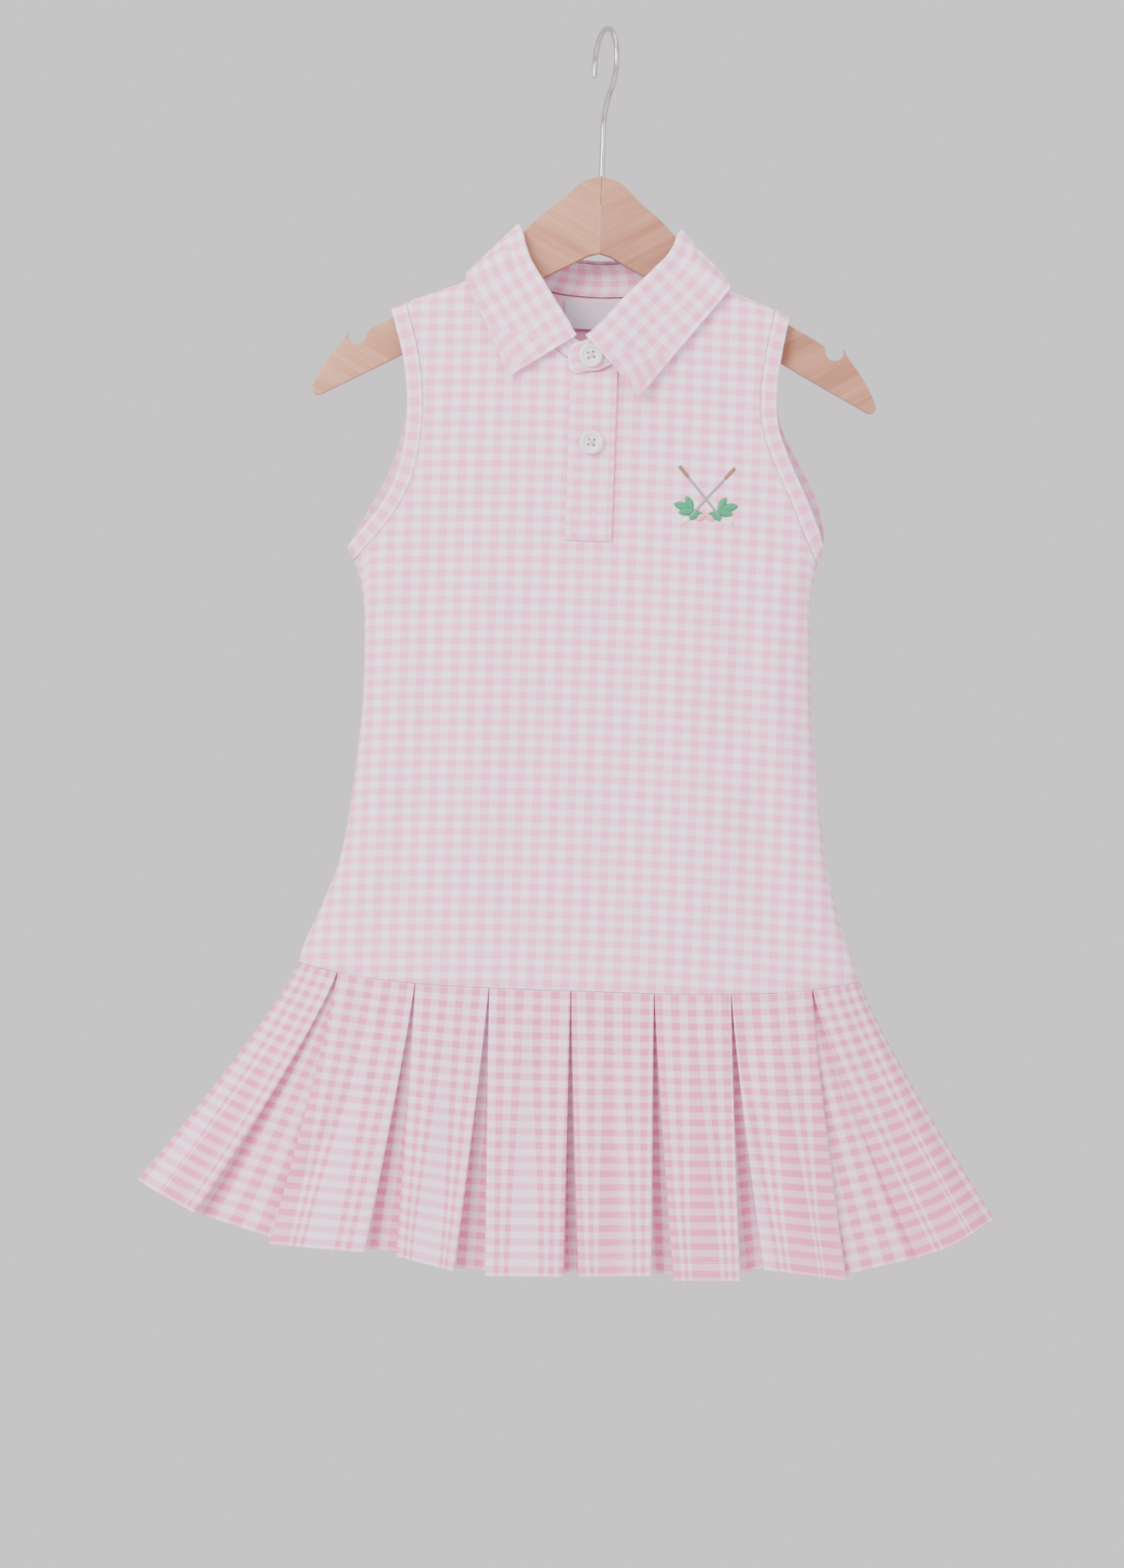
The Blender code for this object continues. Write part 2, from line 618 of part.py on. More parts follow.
def stand_point(degrees, v):
    """The stand's inner face at an angle round the neck and a share v of its height."""
    angle = math.radians(degrees)
    face = -1 if math.cos(angle) > 0 else 1
    seam = Vector((NECK_HALF_WIDTH * math.sin(angle), 0, neck_z(angle, face)))
    seam.y = form_y(seam.x, seam.z, face) - face * min(BODICE_WALL, abs(math.cos(angle)) * STAND_TUCK)
    place = seam.lerp(fold_point(degrees), v)
    if degrees < 90:
        place.y -= overlap_out(degrees)
        place.z -= OVERLAP_DROOP * max(0.0, place.x / OVERLAP_END_X) ** 1.5 * (1 - v)
    return place


def angle_at(x, v):
    """Degrees round the neck where the stand has an x near the front middle."""
    return math.degrees(math.asin(x / mix(NECK_HALF_WIDTH, FOLD_HALF_WIDTH, v)))


def round_degrees(first, last):
    """The angles round the neck where the collar is divided, from first to last."""
    right_front = FRONT_DEGREES[::-1] + SIDE_DEGREES[::-1]
    right_back = [180 - d for d in SIDE_DEGREES[1:] + BACK_DEGREES]
    right = right_front + right_back
    left = [360 - d for d in right[-2::-1]]
    return [d for d in right + left if first <= d <= last]


def stand_place(u, v):
    """The stand's point: u runs from the overlapping end right round to the end beneath."""
    corner = STAND_END_ROUND * (1 - math.sqrt(max(0.0, 1 - (2 * v - 1) ** 2)))
    first = angle_at(OVERLAP_END_X + corner, v)
    last = 360 + angle_at(UNDERLAP_END_X, v)
    degrees = mix(first, last, u)
    foot = mix(STAND_FOOT_MIDDLE, STAND_FOOT_SIDE, math.sin(math.radians(degrees)) ** 2)
    return stand_point(degrees, mix(foot, 1.0, v))


def make_stand(material):
    degrees = [-17, -9] + round_degrees(0, 360) + [371]
    first, last = degrees[0], degrees[-1]
    columns = [(d - first) / (last - first) for d in degrees]
    rows = [0.0, 0.25, 0.6, 0.9, 1.0]
    cloth("collar_stand", columns, rows, stand_place, STAND_WALL, material, outward=True)


def leaf_edge(degrees):
    """The collar's outer edge at an angle round the neck, as x and z."""
    angle = math.radians(degrees)
    square = math.cos(angle) ** 2
    if math.cos(angle) < 0:
        x = LEAF_SHOULDER_X * math.copysign(abs(math.sin(angle)) ** LEAF_BACK_ROUND, math.sin(angle))
        return Vector((x, LEAF_SHOULDER_Z - LEAF_BACK_DROP * square))
    end = LEAF_RIGHT if degrees < 180 else LEAF_LEFT
    z = LEAF_SHOULDER_Z - end.drop * square
    x = LEAF_SHOULDER_X - end.lean * max(0.0, LEAF_STRAIGHT_Z - z)
    return Vector((end.side * x, z))


def leaf_place(u, v):
    """The collar leaf's point: u runs from its right point round the back to its left one."""
    degrees = mix(LEAF_RIGHT.fold_angle, LEAF_LEFT.fold_angle, u)
    forward = math.cos(math.radians(degrees))
    face = -1 if forward > 0 else 1
    fold = stand_point(degrees, 1.0)
    around = (stand_point(degrees + 1, 1.0) - stand_point(degrees - 1, 1.0)).normalized()
    rise = fold - stand_point(degrees, 0.5)
    up = (rise - around * rise.dot(around)).normalized()
    out = up.cross(around)
    if out.dot(Vector((fold.x, fold.y, 0))) < 0:
        out = -out
    if v == 0.0:
        return fold + out * (STAND_WALL / 2) + up * LEAF_ROLL_UP
    roll = fold + out * LEAF_ROLL_OUT + up * (LEAF_ROLL_UP / 2)
    edge = leaf_edge(degrees)
    down = (v - LEAF_ROLL_SHARE) / (1 - LEAF_ROLL_SHARE)
    x, z = mix(roll.x, edge.x, down), mix(roll.z, edge.y, down)
    near_x, near_z = x / LEAF_OVER_BUTTON_WIDTH, (z - LEAF_OVER_BUTTON_Z) / LEAF_OVER_BUTTON_WIDTH
    near_button = math.exp(-(near_x**2) - near_z**2)
    lift = LEAF_OUT + (LEAF_OVER_BUTTON * near_button if degrees < 180 else 0)
    edge_depth = abs(form_y(edge.x, LEAF_EDGE_Z, face, LEAF_OUT)) * abs(forward) ** LEAF_EDGE_ROUND
    overlap = overlap_out(degrees) if degrees < 90 else 0
    straight = mix(abs(roll.y), edge_depth + overlap, ease(down)) + lift - LEAF_OUT
    laid = abs(form_y(x, z, face, lift)) * ease(down / LEAF_LIES_FROM)
    return Vector((x, face * max(straight, laid), z))


def make_leaf(material):
    degrees = [LEAF_RIGHT.fold_angle] + round_degrees(9, 333) + [LEAF_LEFT.fold_angle]
    first, last = degrees[0], degrees[-1]
    columns = [(d - first) / (last - first) for d in degrees]
    rows = [0.0, LEAF_ROLL_SHARE, 0.12, 0.3, 0.55, 0.8, 1.0]
    cloth("collar_leaf", columns, rows, leaf_place, LEAF_WALL, material, flipped=True)


def placket_place(u, v):
    x = mix(PLACKET_LEFT, PLACKET_RIGHT, u)
    top = PLACKET_TOP_Z + PLACKET_TOP_SLOPE * x - SEAM
    return form_point(x, mix(PLACKET_FOOT_Z, top, v), -1, SEAM)


def label_place(u, v):
    x = mix(LABEL_LEFT, LABEL_RIGHT, u)
    z = mix(LABEL_FOOT_Z, LABEL_TOP_Z, v)
    inside = form_y(x, z, 1) - BODICE_WALL - SEAM
    return Vector((x, inside, z))


def make_placket(material):
    columns = [i / 4 for i in range(5)]
    rows = [i / 8 for i in range(9)]
    cloth("placket", columns, rows, placket_place, PLACKET_WALL, material, outward=True)


def make_label(material):
    columns = [i / 5 for i in range(6)]
    rows = [0.0, 0.5, 1.0]
    cloth("neck_label", columns, rows, label_place, LABEL_WALL, material, flipped=True)


def as_cutter(piece):
    for collection in piece.users_collection:
        collection.objects.unlink(piece)
    cutters.objects.link(piece)
    piece.hide_render = True
    piece.display_type = "WIRE"


def add_cut(piece, cutter):
    cut = piece.modifiers.new("cut", "BOOLEAN")
    cut.operation = "DIFFERENCE"
    cut.solver = "EXACT"
    cut.object = cutter


def stand_spot(x, z):
    """A place on the stand's outer face near the front middle, and the way it faces."""
    v = 0.5
    for _ in range(8):
        degrees = angle_at(x, v)
        foot, fold = stand_point(degrees, 0.0), stand_point(degrees, 1.0)
        v = (z - foot.z) / (fold.z - foot.z)
    across = stand_point(degrees + 2, v) - stand_point(degrees - 2, v)
    normal = across.cross(fold - foot).normalized()
    return stand_point(degrees, v) + normal * STAND_WALL, normal


def placket_spot(x, z):
    """A place on the placket's outer face, and the way it faces."""
    out = SEAM + PLACKET_WALL
    return form_point(x, z, -1, out), form_normal(x, z, -1, out)


def make_button(name, spot, material):
    """A turned button with a dished face and four holes, facing out from what it fastens."""
    dish_z = BUTTON_THICKNESS - BUTTON_DISH_DEPTH
    profile = [
        Vector((0, 0, dish_z)),
        Vector((BUTTON_DISH - BUTTON_DISH_DEPTH, 0, dish_z)),
        Vector((BUTTON_DISH, 0, BUTTON_THICKNESS)),
        Vector((BUTTON_RADIUS - BUTTON_ROUND, 0, BUTTON_THICKNESS)),
        Vector((BUTTON_RADIUS, 0, BUTTON_THICKNESS - BUTTON_ROUND)),
        Vector((BUTTON_RADIUS, 0, BUTTON_ROUND)),
        Vector((BUTTON_RADIUS - BUTTON_FOOT_ROUND, 0, 0)),
        Vector((0, 0, 0)),
    ]
    mesh = bpy.data.meshes.new(name)
    edges = [(i, i + 1) for i in range(len(profile) - 1)]
    mesh.from_pydata(profile, edges, [])
    button = bpy.data.objects.new(name, mesh)
    parts.objects.link(button)
    mesh.materials.append(material)
    turned = button.modifiers.new("turn", "SCREW")
    turned.steps = 20
    turned.render_steps = 20
    turned.use_merge_vertices = True
    turned.merge_threshold = 0.00001
    seat, normal = spot
    seat += normal * BUTTON_GAP
    placing = Matrix.Translation(seat) @ normal.to_track_quat("Z", "Y").to_matrix().to_4x4()
    button.matrix_world = placing
    holes = bmesh.new()
    for along in (-1, 1):
        for across in (-1, 1):
            at = Vector((along, across, 0)) * BUTTON_HOLE_SPACING
            middle = Matrix.Translation(at + Vector((0, 0, BUTTON_THICKNESS / 2)))
            bmesh.ops.create_cone(
                holes, cap_ends=True, segments=8, radius1=BUTTON_HOLE_RADIUS, radius2=BUTTON_HOLE_RADIUS,
                depth=3 * BUTTON_THICKNESS, matrix=middle,
            )
    hole_mesh = bpy.data.meshes.new(name + "_holes")
    holes.to_mesh(hole_mesh)
    holes.free()
    cutter = bpy.data.objects.new(name + "_holes", hole_mesh)
    parts.objects.link(cutter)
    cutter.matrix_world = placing
    as_cutter(cutter)
    add_cut(button, cutter)


def notch_marks():
    """The round notch in a hanger's top edge, from its inner lip to its outer one."""
    marks = []
    for degrees in (165, 200, 235, 270, 305, 340, 15):
        angle = math.radians(degrees)
        x = NOTCH_X + NOTCH_RADIUS * math.cos(angle)
        marks.append(Mark(x, NOTCH_Z + NOTCH_RADIUS * math.sin(angle)))
    return marks


def make_hanger_half(name, side, bore, material):
    """One flat wooden half, cut square on the centre line and rounded along its edges."""
    outline = HANGER_TOP + notch_marks() + HANGER_END + HANGER_BOTTOM
    plate = bmesh.new()
    corners = []
    for mark in outline:
        x = max(mark.x, SEAM / 2)
        corners.append(plate.verts.new((side * x, -HANGER_THICKNESS / 2, mark.z)))
    face = plate.faces.new(corners)
    moved = bmesh.ops.extrude_face_region(plate, geom=[face])
    raised = [part for part in moved["geom"] if isinstance(part, bmesh.types.BMVert)]
    bmesh.ops.translate(plate, verts=raised, vec=(0, HANGER_THICKNESS, 0))
    flat_faces = [f for f in plate.faces if len(f.verts) > 4]
    rims = {edge for f in flat_faces for edge in f.edges}
    rims = [e for e in rims if any(abs(v.co.x) > SEAM for v in e.verts)]
    bmesh.ops.bevel(
        plate, geom=rims, offset=HANGER_ROUND, segments=2, profile=0.5, affect="EDGES", material=-1,
        clamp_overlap=True,
    )
    bmesh.ops.recalc_face_normals(plate, faces=plate.faces)
    mesh = bpy.data.meshes.new(name)
    plate.to_mesh(mesh)
    plate.free()
    half = bpy.data.objects.new(name, mesh)
    parts.objects.link(half)
    mesh.materials.append(material)
    add_cut(half, bore)


def make_bore():
    bpy.ops.mesh.primitive_cylinder_add(
        vertices=12, radius=HOOK_BORE_RADIUS, depth=2 * HOOK_BORE_DEPTH, location=(0, 0, HANGER_TOP[0].z)
    )
    bore = bpy.context.object
    bore.name = "hook_bore"
    as_cutter(bore)
    return bore


def hook_points():
    """The wire's middle line, from its foot in the wood round to its open tip."""
    radius = HOOK_INNER_RADIUS + WIRE_RADIUS
    centre_z = -HOOK_INNER_RADIUS

    def on_ring(degrees):
        angle = math.radians(degrees)
        return Vector((radius * math.cos(angle), centre_z + radius * math.sin(angle)))

    points = [Vector((0, mix(HOOK_FOOT_Z, HOOK_BEND_Z, i / 3))) for i in range(4)]
    start = on_ring(HOOK_FRONT_ANGLE)
    turn = math.radians(HOOK_FRONT_ANGLE)
    heading = Vector((-math.sin(turn), math.cos(turn)))
    low = points[-1]
    leave, reach = low + Vector((0, HOOK_BEND_UP)), start - heading * HOOK_BEND_BACK
    for i in range(1, HOOK_BEND_STEPS):
        t = i / HOOK_BEND_STEPS
        keep = 1 - t
        bend = low * keep**3 + leave * (3 * keep * keep * t)
        points.append(bend + reach * (3 * keep * t * t) + start * t**3)
    for i in range(HOOK_RING_STEPS + 1):
        points.append(on_ring(mix(HOOK_FRONT_ANGLE, HOOK_TIP_ANGLE, i / HOOK_RING_STEPS)))
    return points


def make_hook(material):
    path = bpy.data.curves.new("hanger_hook", "CURVE")
    path.dimensions = "3D"
    path.bevel_depth = WIRE_RADIUS
    path.bevel_resolution = 1
    path.use_fill_caps = True
    line = path.splines.new("POLY")
    points = hook_points()
    line.points.add(len(points) - 1)
    for spot, place in zip(line.points, points):
        x = place.x * math.sin(HOOK_YAW)
        y = -place.x * math.cos(HOOK_YAW)
        spot.co = (x, y, place.y, 1)
    hook = bpy.data.objects.new("hanger_hook", path)
    parts.objects.link(hook)
    path.materials.append(material)


for old in list(bpy.data.objects):
    bpy.data.objects.remove(old)
parts = bpy.data.collections.new("golf dress on a hanger")
cutters = bpy.data.collections.new("cutters")
bpy.context.scene.collection.children.link(parts)
bpy.context.scene.collection.children.link(cutters)

knit = finish("pink check knit", PINK, 0.85)
deep_knit = finish("pink check knit in the pleats", DEEP_PINK, 0.85)
label_cloth = finish("label satin", PALE_LILAC, 0.5)
pearl = finish("pearl button", PEARL, 0.3)
beech = finish("beech", BEECH, 0.5)
steel = finish("steel wire", STEEL, 0.25, 1.0)

make_bodice("bodice_front", -1, knit)
make_bodice("bodice_back", 1, knit)
make_skirt("skirt_front", -1, deep_knit)
make_skirt("skirt_back", 1, deep_knit)
make_band("armhole_band_left", -1, knit)
make_band("armhole_band_right", 1, knit)
make_stand(knit)
make_leaf(knit)
make_placket(knit)
make_label(label_cloth)
make_button("button_collar", stand_spot(*COLLAR_BUTTON), pearl)
make_button("button_placket", placket_spot(*PLACKET_BUTTON), pearl)
hook_bore = make_bore()
make_hanger_half("hanger_half_left", -1, hook_bore, beech)
make_hanger_half("hanger_half_right", 1, hook_bore, beech)
make_hook(steel)
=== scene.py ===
"""A child's gingham golf dress on its wooden hanger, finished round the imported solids.

Metres, +Z up, the front facing -Y. The cloth pieces lie on the same flattened tube as the solids and add
the gingham, the soft folds, the seams and the sewing. Left and right are as seen from the front.
"""

from __future__ import annotations

import logging
import math
from dataclasses import dataclass
from enum import Enum
from typing import Callable, NamedTuple, Sequence

import bmesh
import bpy
import numpy as np
from mathutils import Matrix, Vector

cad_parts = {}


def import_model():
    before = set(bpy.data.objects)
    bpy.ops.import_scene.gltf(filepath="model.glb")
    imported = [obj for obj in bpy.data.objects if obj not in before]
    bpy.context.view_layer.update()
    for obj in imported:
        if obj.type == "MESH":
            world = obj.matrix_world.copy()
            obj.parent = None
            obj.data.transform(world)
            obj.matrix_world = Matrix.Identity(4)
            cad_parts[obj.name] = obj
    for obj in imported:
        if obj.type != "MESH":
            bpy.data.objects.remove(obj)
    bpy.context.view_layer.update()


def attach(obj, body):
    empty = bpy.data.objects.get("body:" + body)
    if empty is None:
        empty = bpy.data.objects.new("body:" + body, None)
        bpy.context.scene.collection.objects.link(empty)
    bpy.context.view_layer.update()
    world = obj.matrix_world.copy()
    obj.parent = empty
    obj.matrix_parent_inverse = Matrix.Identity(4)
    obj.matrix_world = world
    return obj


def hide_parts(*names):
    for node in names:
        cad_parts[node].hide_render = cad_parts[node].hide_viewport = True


LOG = logging.getLogger("golf_dress")
BODY = "root"
SEAM = 0.0003
HALF_SEAM = 0.00022

Array = np.ndarray
Place = Callable[[Array, Array], Array]
Colour = tuple[float, float, float]


class Face(Enum):
    """The side of the dress that a panel makes, as the sign of its y."""

    FRONT = -1
    BACK = 1


class Side(Enum):
    """The side of the wearer's body as seen from the front, as the sign of its x."""

    LEFT = -1
    RIGHT = 1


class Girth(NamedTuple):
    """Half widths and depths of the tube at one height."""

    z: float
    left: float
    right: float
    front: float
    back: float


class Mark(NamedTuple):
    """A place on a line that is seen from the front."""

    x: float
    z: float


class Armhole(NamedTuple):
    """A place on both armhole seams, and how far out the back one lies."""

    left_x: float
    left_z: float
    right_x: float
    right_z: float
    back_out: float


class Fold(NamedTuple):
    """The height of the collar's fold at an angle round the neck."""

    angle: float
    z: float


class LeafEnd(NamedTuple):
    """One point of the collar leaf."""

    side: int
    fold_angle: float
    drop: float
    lean: float


class Pleat(NamedTuple):
    """An inverted pleat: its place on the waist seam and its two edges at the hem."""

    seam_x: float
    hem_left_x: float
    hem_left_z: float
    hem_right_x: float
    hem_right_z: float
    hem_deep: float
    soft_left: float
    soft_right: float


class Crease(NamedTuple):
    """A soft ridge, or a trough where its height is negative, along a short line."""

    x0: float
    z0: float
    x1: float
    z1: float
    width: float
    height: float


GIRTHS = (
    Girth(-0.600, 0.1715, 0.1785, 0.0260, 0.0240),
    Girth(-0.580, 0.1705, 0.1765, 0.0255, 0.0235),
    Girth(-0.556, 0.1610, 0.1665, 0.0250, 0.0230),
    Girth(-0.523, 0.1490, 0.1570, 0.0240, 0.0220),
    Girth(-0.494, 0.1435, 0.1513, 0.0232, 0.0212),
    Girth(-0.456, 0.1398, 0.1463, 0.0222, 0.0205),
    Girth(-0.421, 0.1372, 0.1420, 0.0212, 0.0200),
    Girth(-0.380, 0.1375, 0.1398, 0.0200, 0.0190),
    Girth(-0.354, 0.1398, 0.1390, 0.0190, 0.0180),
    Girth(-0.335, 0.1455, 0.1410, 0.0180, 0.0170),
    Girth(-0.326, 0.1501, 0.1430, 0.0175, 0.0168),
    Girth(-0.316, 0.1530, 0.1475, 0.0170, 0.0165),
    Girth(-0.250, 0.1580, 0.1560, 0.0160, 0.0155),
    Girth(-0.140, 0.1640, 0.1640, 0.0150, 0.0150),
)
SHOULDERS = (
    Mark(0.0400, -0.1240),
    Mark(0.0640, -0.1435),
    Mark(0.0820, -0.1580),
    Mark(0.1126, -0.1705),
    Mark(0.1185, -0.1735),
    Mark(0.1300, -0.1778),
    Mark(0.1400, -0.1815),
)
ARMHOLES = (
    Armhole(0.1455, -0.3350, 0.1425, -0.3275, 0.0000),
    Armhole(0.1330, -0.3205, 0.1340, -0.3110, 0.0030),
    Armhole(0.1200, -0.3030, 0.1240, -0.2890, 0.0070),
    Armhole(0.1105, -0.2810, 0.1140, -0.2685, 0.0060),
    Armhole(0.1062, -0.2560, 0.1055, -0.2465, 0.0030),
    Armhole(0.1058, -0.2320, 0.1032, -0.2240, 0.0005),
    Armhole(0.1095, -0.2050, 0.1053, -0.1990, 0.0000),
    Armhole(0.1185, -0.1735, 0.1105, -0.1697, 0.0000),
)
FOLDS = (
    Fold(-22, -0.1970),
    Fold(-6, -0.1935),
    Fold(6, -0.1840),
    Fold(24, -0.1665),
    Fold(45, -0.1510),
    Fold(63, -0.1410),
    Fold(78, -0.1325),
    Fold(90, -0.1265),
    Fold(106, -0.1310),
    Fold(135, -0.1385),
    Fold(180, -0.1440),
    Fold(225, -0.1385),
    Fold(254, -0.1310),
    Fold(270, -0.1265),
    Fold(282, -0.1340),
    Fold(297, -0.1460),
    Fold(315, -0.1605),
    Fold(336, -0.1830),
    Fold(344, -0.1930),
    Fold(360, -0.1975),
    Fold(375, -0.1985),
)
FRONT_PLEATS = (
    Pleat(-0.1465, -0.2290, -0.7420, -0.1819, -0.7585, 0.0110, 0.0035, 0.0110),
    Pleat(-0.0981, -0.1230, -0.7610, -0.1031, -0.7625, 0.0150, 0.0060, 0.0025),
    Pleat(-0.0522, -0.0672, -0.7705, -0.0481, -0.7725, 0.0170, 0.0030, 0.0030),
    Pleat(-0.0015, 0.0000, -0.7715, 0.0092, -0.7710, 0.0150, 0.0030, 0.0030),
    Pleat(0.0500, 0.0540, -0.7690, 0.0680, -0.7715, 0.0160, 0.0030, 0.0030),
    Pleat(0.0978, 0.1087, -0.7705, 0.1232, -0.7630, 0.0150, 0.0025, 0.0080),
    Pleat(0.1480, 0.1740, -0.7685, 0.2180, -0.7540, 0.0070, 0.0120, 0.0100),
)
BACK_PLEATS = (
    Pleat(-0.1465, -0.2150, -0.7480, -0.1830, -0.7590, 0.0110, 0.0060, 0.0060),
    Pleat(-0.0985, -0.1235, -0.7650, -0.1085, -0.7670, 0.0150, 0.0040, 0.0030),
    Pleat(-0.0500, -0.0655, -0.7700, -0.0515, -0.7715, 0.0160, 0.0030, 0.0030),
    Pleat(-0.0005, -0.0070, -0.7720, 0.0060, -0.7720, 0.0160, 0.0030, 0.0030),
    Pleat(0.0495, 0.0530, -0.7715, 0.0660, -0.7700, 0.0150, 0.0030, 0.0030),
    Pleat(0.0985, 0.1095, -0.7670, 0.1250, -0.7650, 0.0160, 0.0030, 0.0040),
    Pleat(0.1480, 0.1850, -0.7610, 0.2170, -0.7520, 0.0110, 0.0060, 0.0060),
)
BODICE_CREASES = (
    Crease(-0.092, -0.310, -0.097, -0.480, 0.0130, -0.0026),
    Crease(-0.097, -0.470, -0.124, -0.575, 0.0120, -0.0024),
    Crease(-0.066, -0.300, -0.076, -0.560, 0.0130, 0.0016),
    Crease(-0.122, -0.350, -0.120, -0.500, 0.0090, 0.0012),
    Crease(0.093, -0.350, 0.104, -0.460, 0.0110, -0.0018),
    Crease(0.104, -0.450, 0.126, -0.570, 0.0120, -0.0024),
    Crease(0.113, -0.330, 0.126, -0.480, 0.0090, 0.0014),
    Crease(0.060, -0.340, 0.072, -0.590, 0.0140, 0.0012),
    Crease(-0.006, -0.330, -0.004, -0.480, 0.0080, -0.0006),
    Crease(0.022, -0.350, 0.026, -0.585, 0.0090, -0.0009),
    Crease(-0.036, -0.420, -0.040, -0.592, 0.0100, -0.0009),
    Crease(-0.134, -0.338, -0.112, -0.360, 0.0070, 0.0010),
    Crease(0.132, -0.332, 0.112, -0.352, 0.0070, 0.0010),
    Crease(-0.0165, -0.318, -0.0150, -0.338, 0.0022, 0.0012),
)
BACK_CREASES = (
    Crease(-0.080, -0.300, -0.100, -0.560, 0.0130, -0.0024),
    Crease(-0.050, -0.280, -0.058, -0.560, 0.0140, 0.0014),
    Crease(0.078, -0.320, 0.104, -0.570, 0.0120, -0.0022),
    Crease(0.046, -0.300, 0.054, -0.580, 0.0140, 0.0013),
    Crease(-0.008, -0.250, 0.004, -0.520, 0.0100, -0.0010),
    Crease(0.020, -0.400, 0.024, -0.590, 0.0100, 0.0009),
    Crease(-0.130, -0.345, -0.106, -0.370, 0.0080, 0.0010),
    Crease(0.130, -0.340, 0.106, -0.362, 0.0080, 0.0010),
)
SKIRT_CREASES = (
    Crease(-0.166, -0.594, -0.246, -0.702, 0.0062, -0.0050),
    Crease(-0.155, -0.604, -0.196, -0.668, 0.0050, 0.0014),
    Crease(-0.130, -0.598, -0.133, -0.660, 0.0058, -0.0034),
    Crease(-0.133, -0.654, -0.156, -0.710, 0.0070, -0.0038),
    Crease(-0.154, -0.700, -0.172, -0.742, 0.0080, -0.0040),
    Crease(-0.121, -0.598, -0.128, -0.690, 0.0045, 0.0018),
    Crease(-0.112, -0.600, -0.118, -0.650, 0.0040, -0.0014),
    Crease(-0.080, -0.602, -0.094, -0.745, 0.0060, 0.0014),
    Crease(-0.068, -0.640, -0.080, -0.760, 0.0060, -0.0012),
    Crease(-0.045, -0.628, -0.028, -0.603, 0.0042, -0.0024),
    Crease(-0.030, -0.604, -0.031, -0.650, 0.0035, 0.0016),
    Crease(-0.016, -0.604, -0.022, -0.760, 0.0065, -0.0018),
    Crease(0.024, -0.604, 0.034, -0.760, 0.0070, -0.0016),
    Crease(0.012, -0.620, 0.018, -0.765, 0.0050, 0.0012),
    Crease(0.072, -0.604, 0.084, -0.760, 0.0065, 0.0014),
    Crease(0.088, -0.620, 0.100, -0.765, 0.0060, -0.0014),
    Crease(0.106, -0.606, 0.113, -0.664, 0.0060, -0.0030),
    Crease(0.113, -0.656, 0.134, -0.750, 0.0070, -0.0038),
    Crease(0.124, -0.604, 0.148, -0.760, 0.0065, 0.0018),
    Crease(0.176, -0.610, 0.222, -0.720, 0.0070, -0.0016),
)
SKIRT_BACK_CREASES = (
    Crease(-0.165, -0.600, -0.238, -0.705, 0.0065, -0.0036),
    Crease(-0.124, -0.604, -0.150, -0.745, 0.0070, -0.0026),
    Crease(-0.074, -0.604, -0.090, -0.760, 0.0065, 0.0016),
    Crease(-0.022, -0.606, -0.030, -0.760, 0.0070, -0.0018),
    Crease(0.022, -0.606, 0.030, -0.760, 0.0065, 0.0014),
    Crease(0.076, -0.606, 0.090, -0.760, 0.0070, -0.0016),
    Crease(0.126, -0.604, 0.154, -0.745, 0.0070, -0.0026),
    Crease(0.170, -0.606, 0.228, -0.712, 0.0065, -0.0026),
)


def mix(a: Array | float, b: Array | float, share: Array | float) -> Array | float:
    """The value a share of the way from a to b."""
    return a + (b - a) * share


def limit(value: Array | float) -> Array:
    """The value kept between 0 and 1."""
    return np.clip(value, 0.0, 1.0)


def ease(value: Array | float) -> Array:
    """The value kept between 0 and 1, with slow ends."""
    value = limit(value)
    return value * value * (3 - 2 * value)


def column(rows: Sequence[NamedTuple], name: str) -> Array:
    """One column of a table."""
    return np.array([getattr(row, name) for row in rows], dtype=float)


def curve(keys: Array, values: Array, at: Array | float) -> Array:
    """A smooth curve through a table's points.

    Args:
        keys: Where the points are, rising.
        values: The values there.
        at: Where the curve is wanted.

    Returns:
        The curve's values.
    """
    at = np.clip(np.asarray(at, dtype=float), keys[0], keys[-1])
    last = len(keys) - 1
    index = np.clip(np.searchsorted(keys, at, side="left") - 1, 0, last - 1)
    places = np.arange(last + 1)
    low, high = np.maximum(places - 1, 0), np.minimum(places + 1, last)
    slopes = (values[high] - values[low]) / (keys[high] - keys[low])
    span = keys[index + 1] - keys[index]
    t = (at - keys[index]) / span
    start, end = values[index], values[index + 1]
    bend_in, bend_out = slopes[index] * span, slopes[index + 1] * span
    rise = 3 * (end - start) - 2 * bend_in - bend_out
    fall = 2 * (start - end) + bend_in + bend_out
    return start + t * (bend_in + t * (rise + t * fall))


def table_curve(rows: Sequence[NamedTuple], key: str, name: str, at: Array | float) -> Array:
    """One column of a table as a curve over another."""
    return curve(column(rows, key), column(rows, name), at)


def table_path(rows: Sequence[NamedTuple], name: str, share: Array | float) -> Array:
    """One column of a table as a curve over the share of the way through its rows."""
    return curve(np.linspace(0, 1, len(rows)), column(rows, name), share)


def full(share: Array | float, power: float) -> Array:
    """The depth of a flattened tube's section at a share of its half width."""
    return np.maximum(0.0, 1 - np.minimum(1.0, np.abs(share)) ** power) ** (1 / power)


def stack(x: Array, y: Array, z: Array) -> Array:
    """Points from their three coordinates."""
    return np.stack(np.broadcast_arrays(x, y, z), axis=-1).astype(float)


def unit(vectors: Array) -> Array:
    """The vectors at a length of 1."""
    return vectors / np.maximum(np.linalg.norm(vectors, axis=-1, keepdims=True), 1e-12)


def crowded(count: int, power: float) -> Array:
    """Shares from 0 to 1 that crowd towards 1."""
    return 1 - (1 - np.linspace(0, 1, count)) ** power


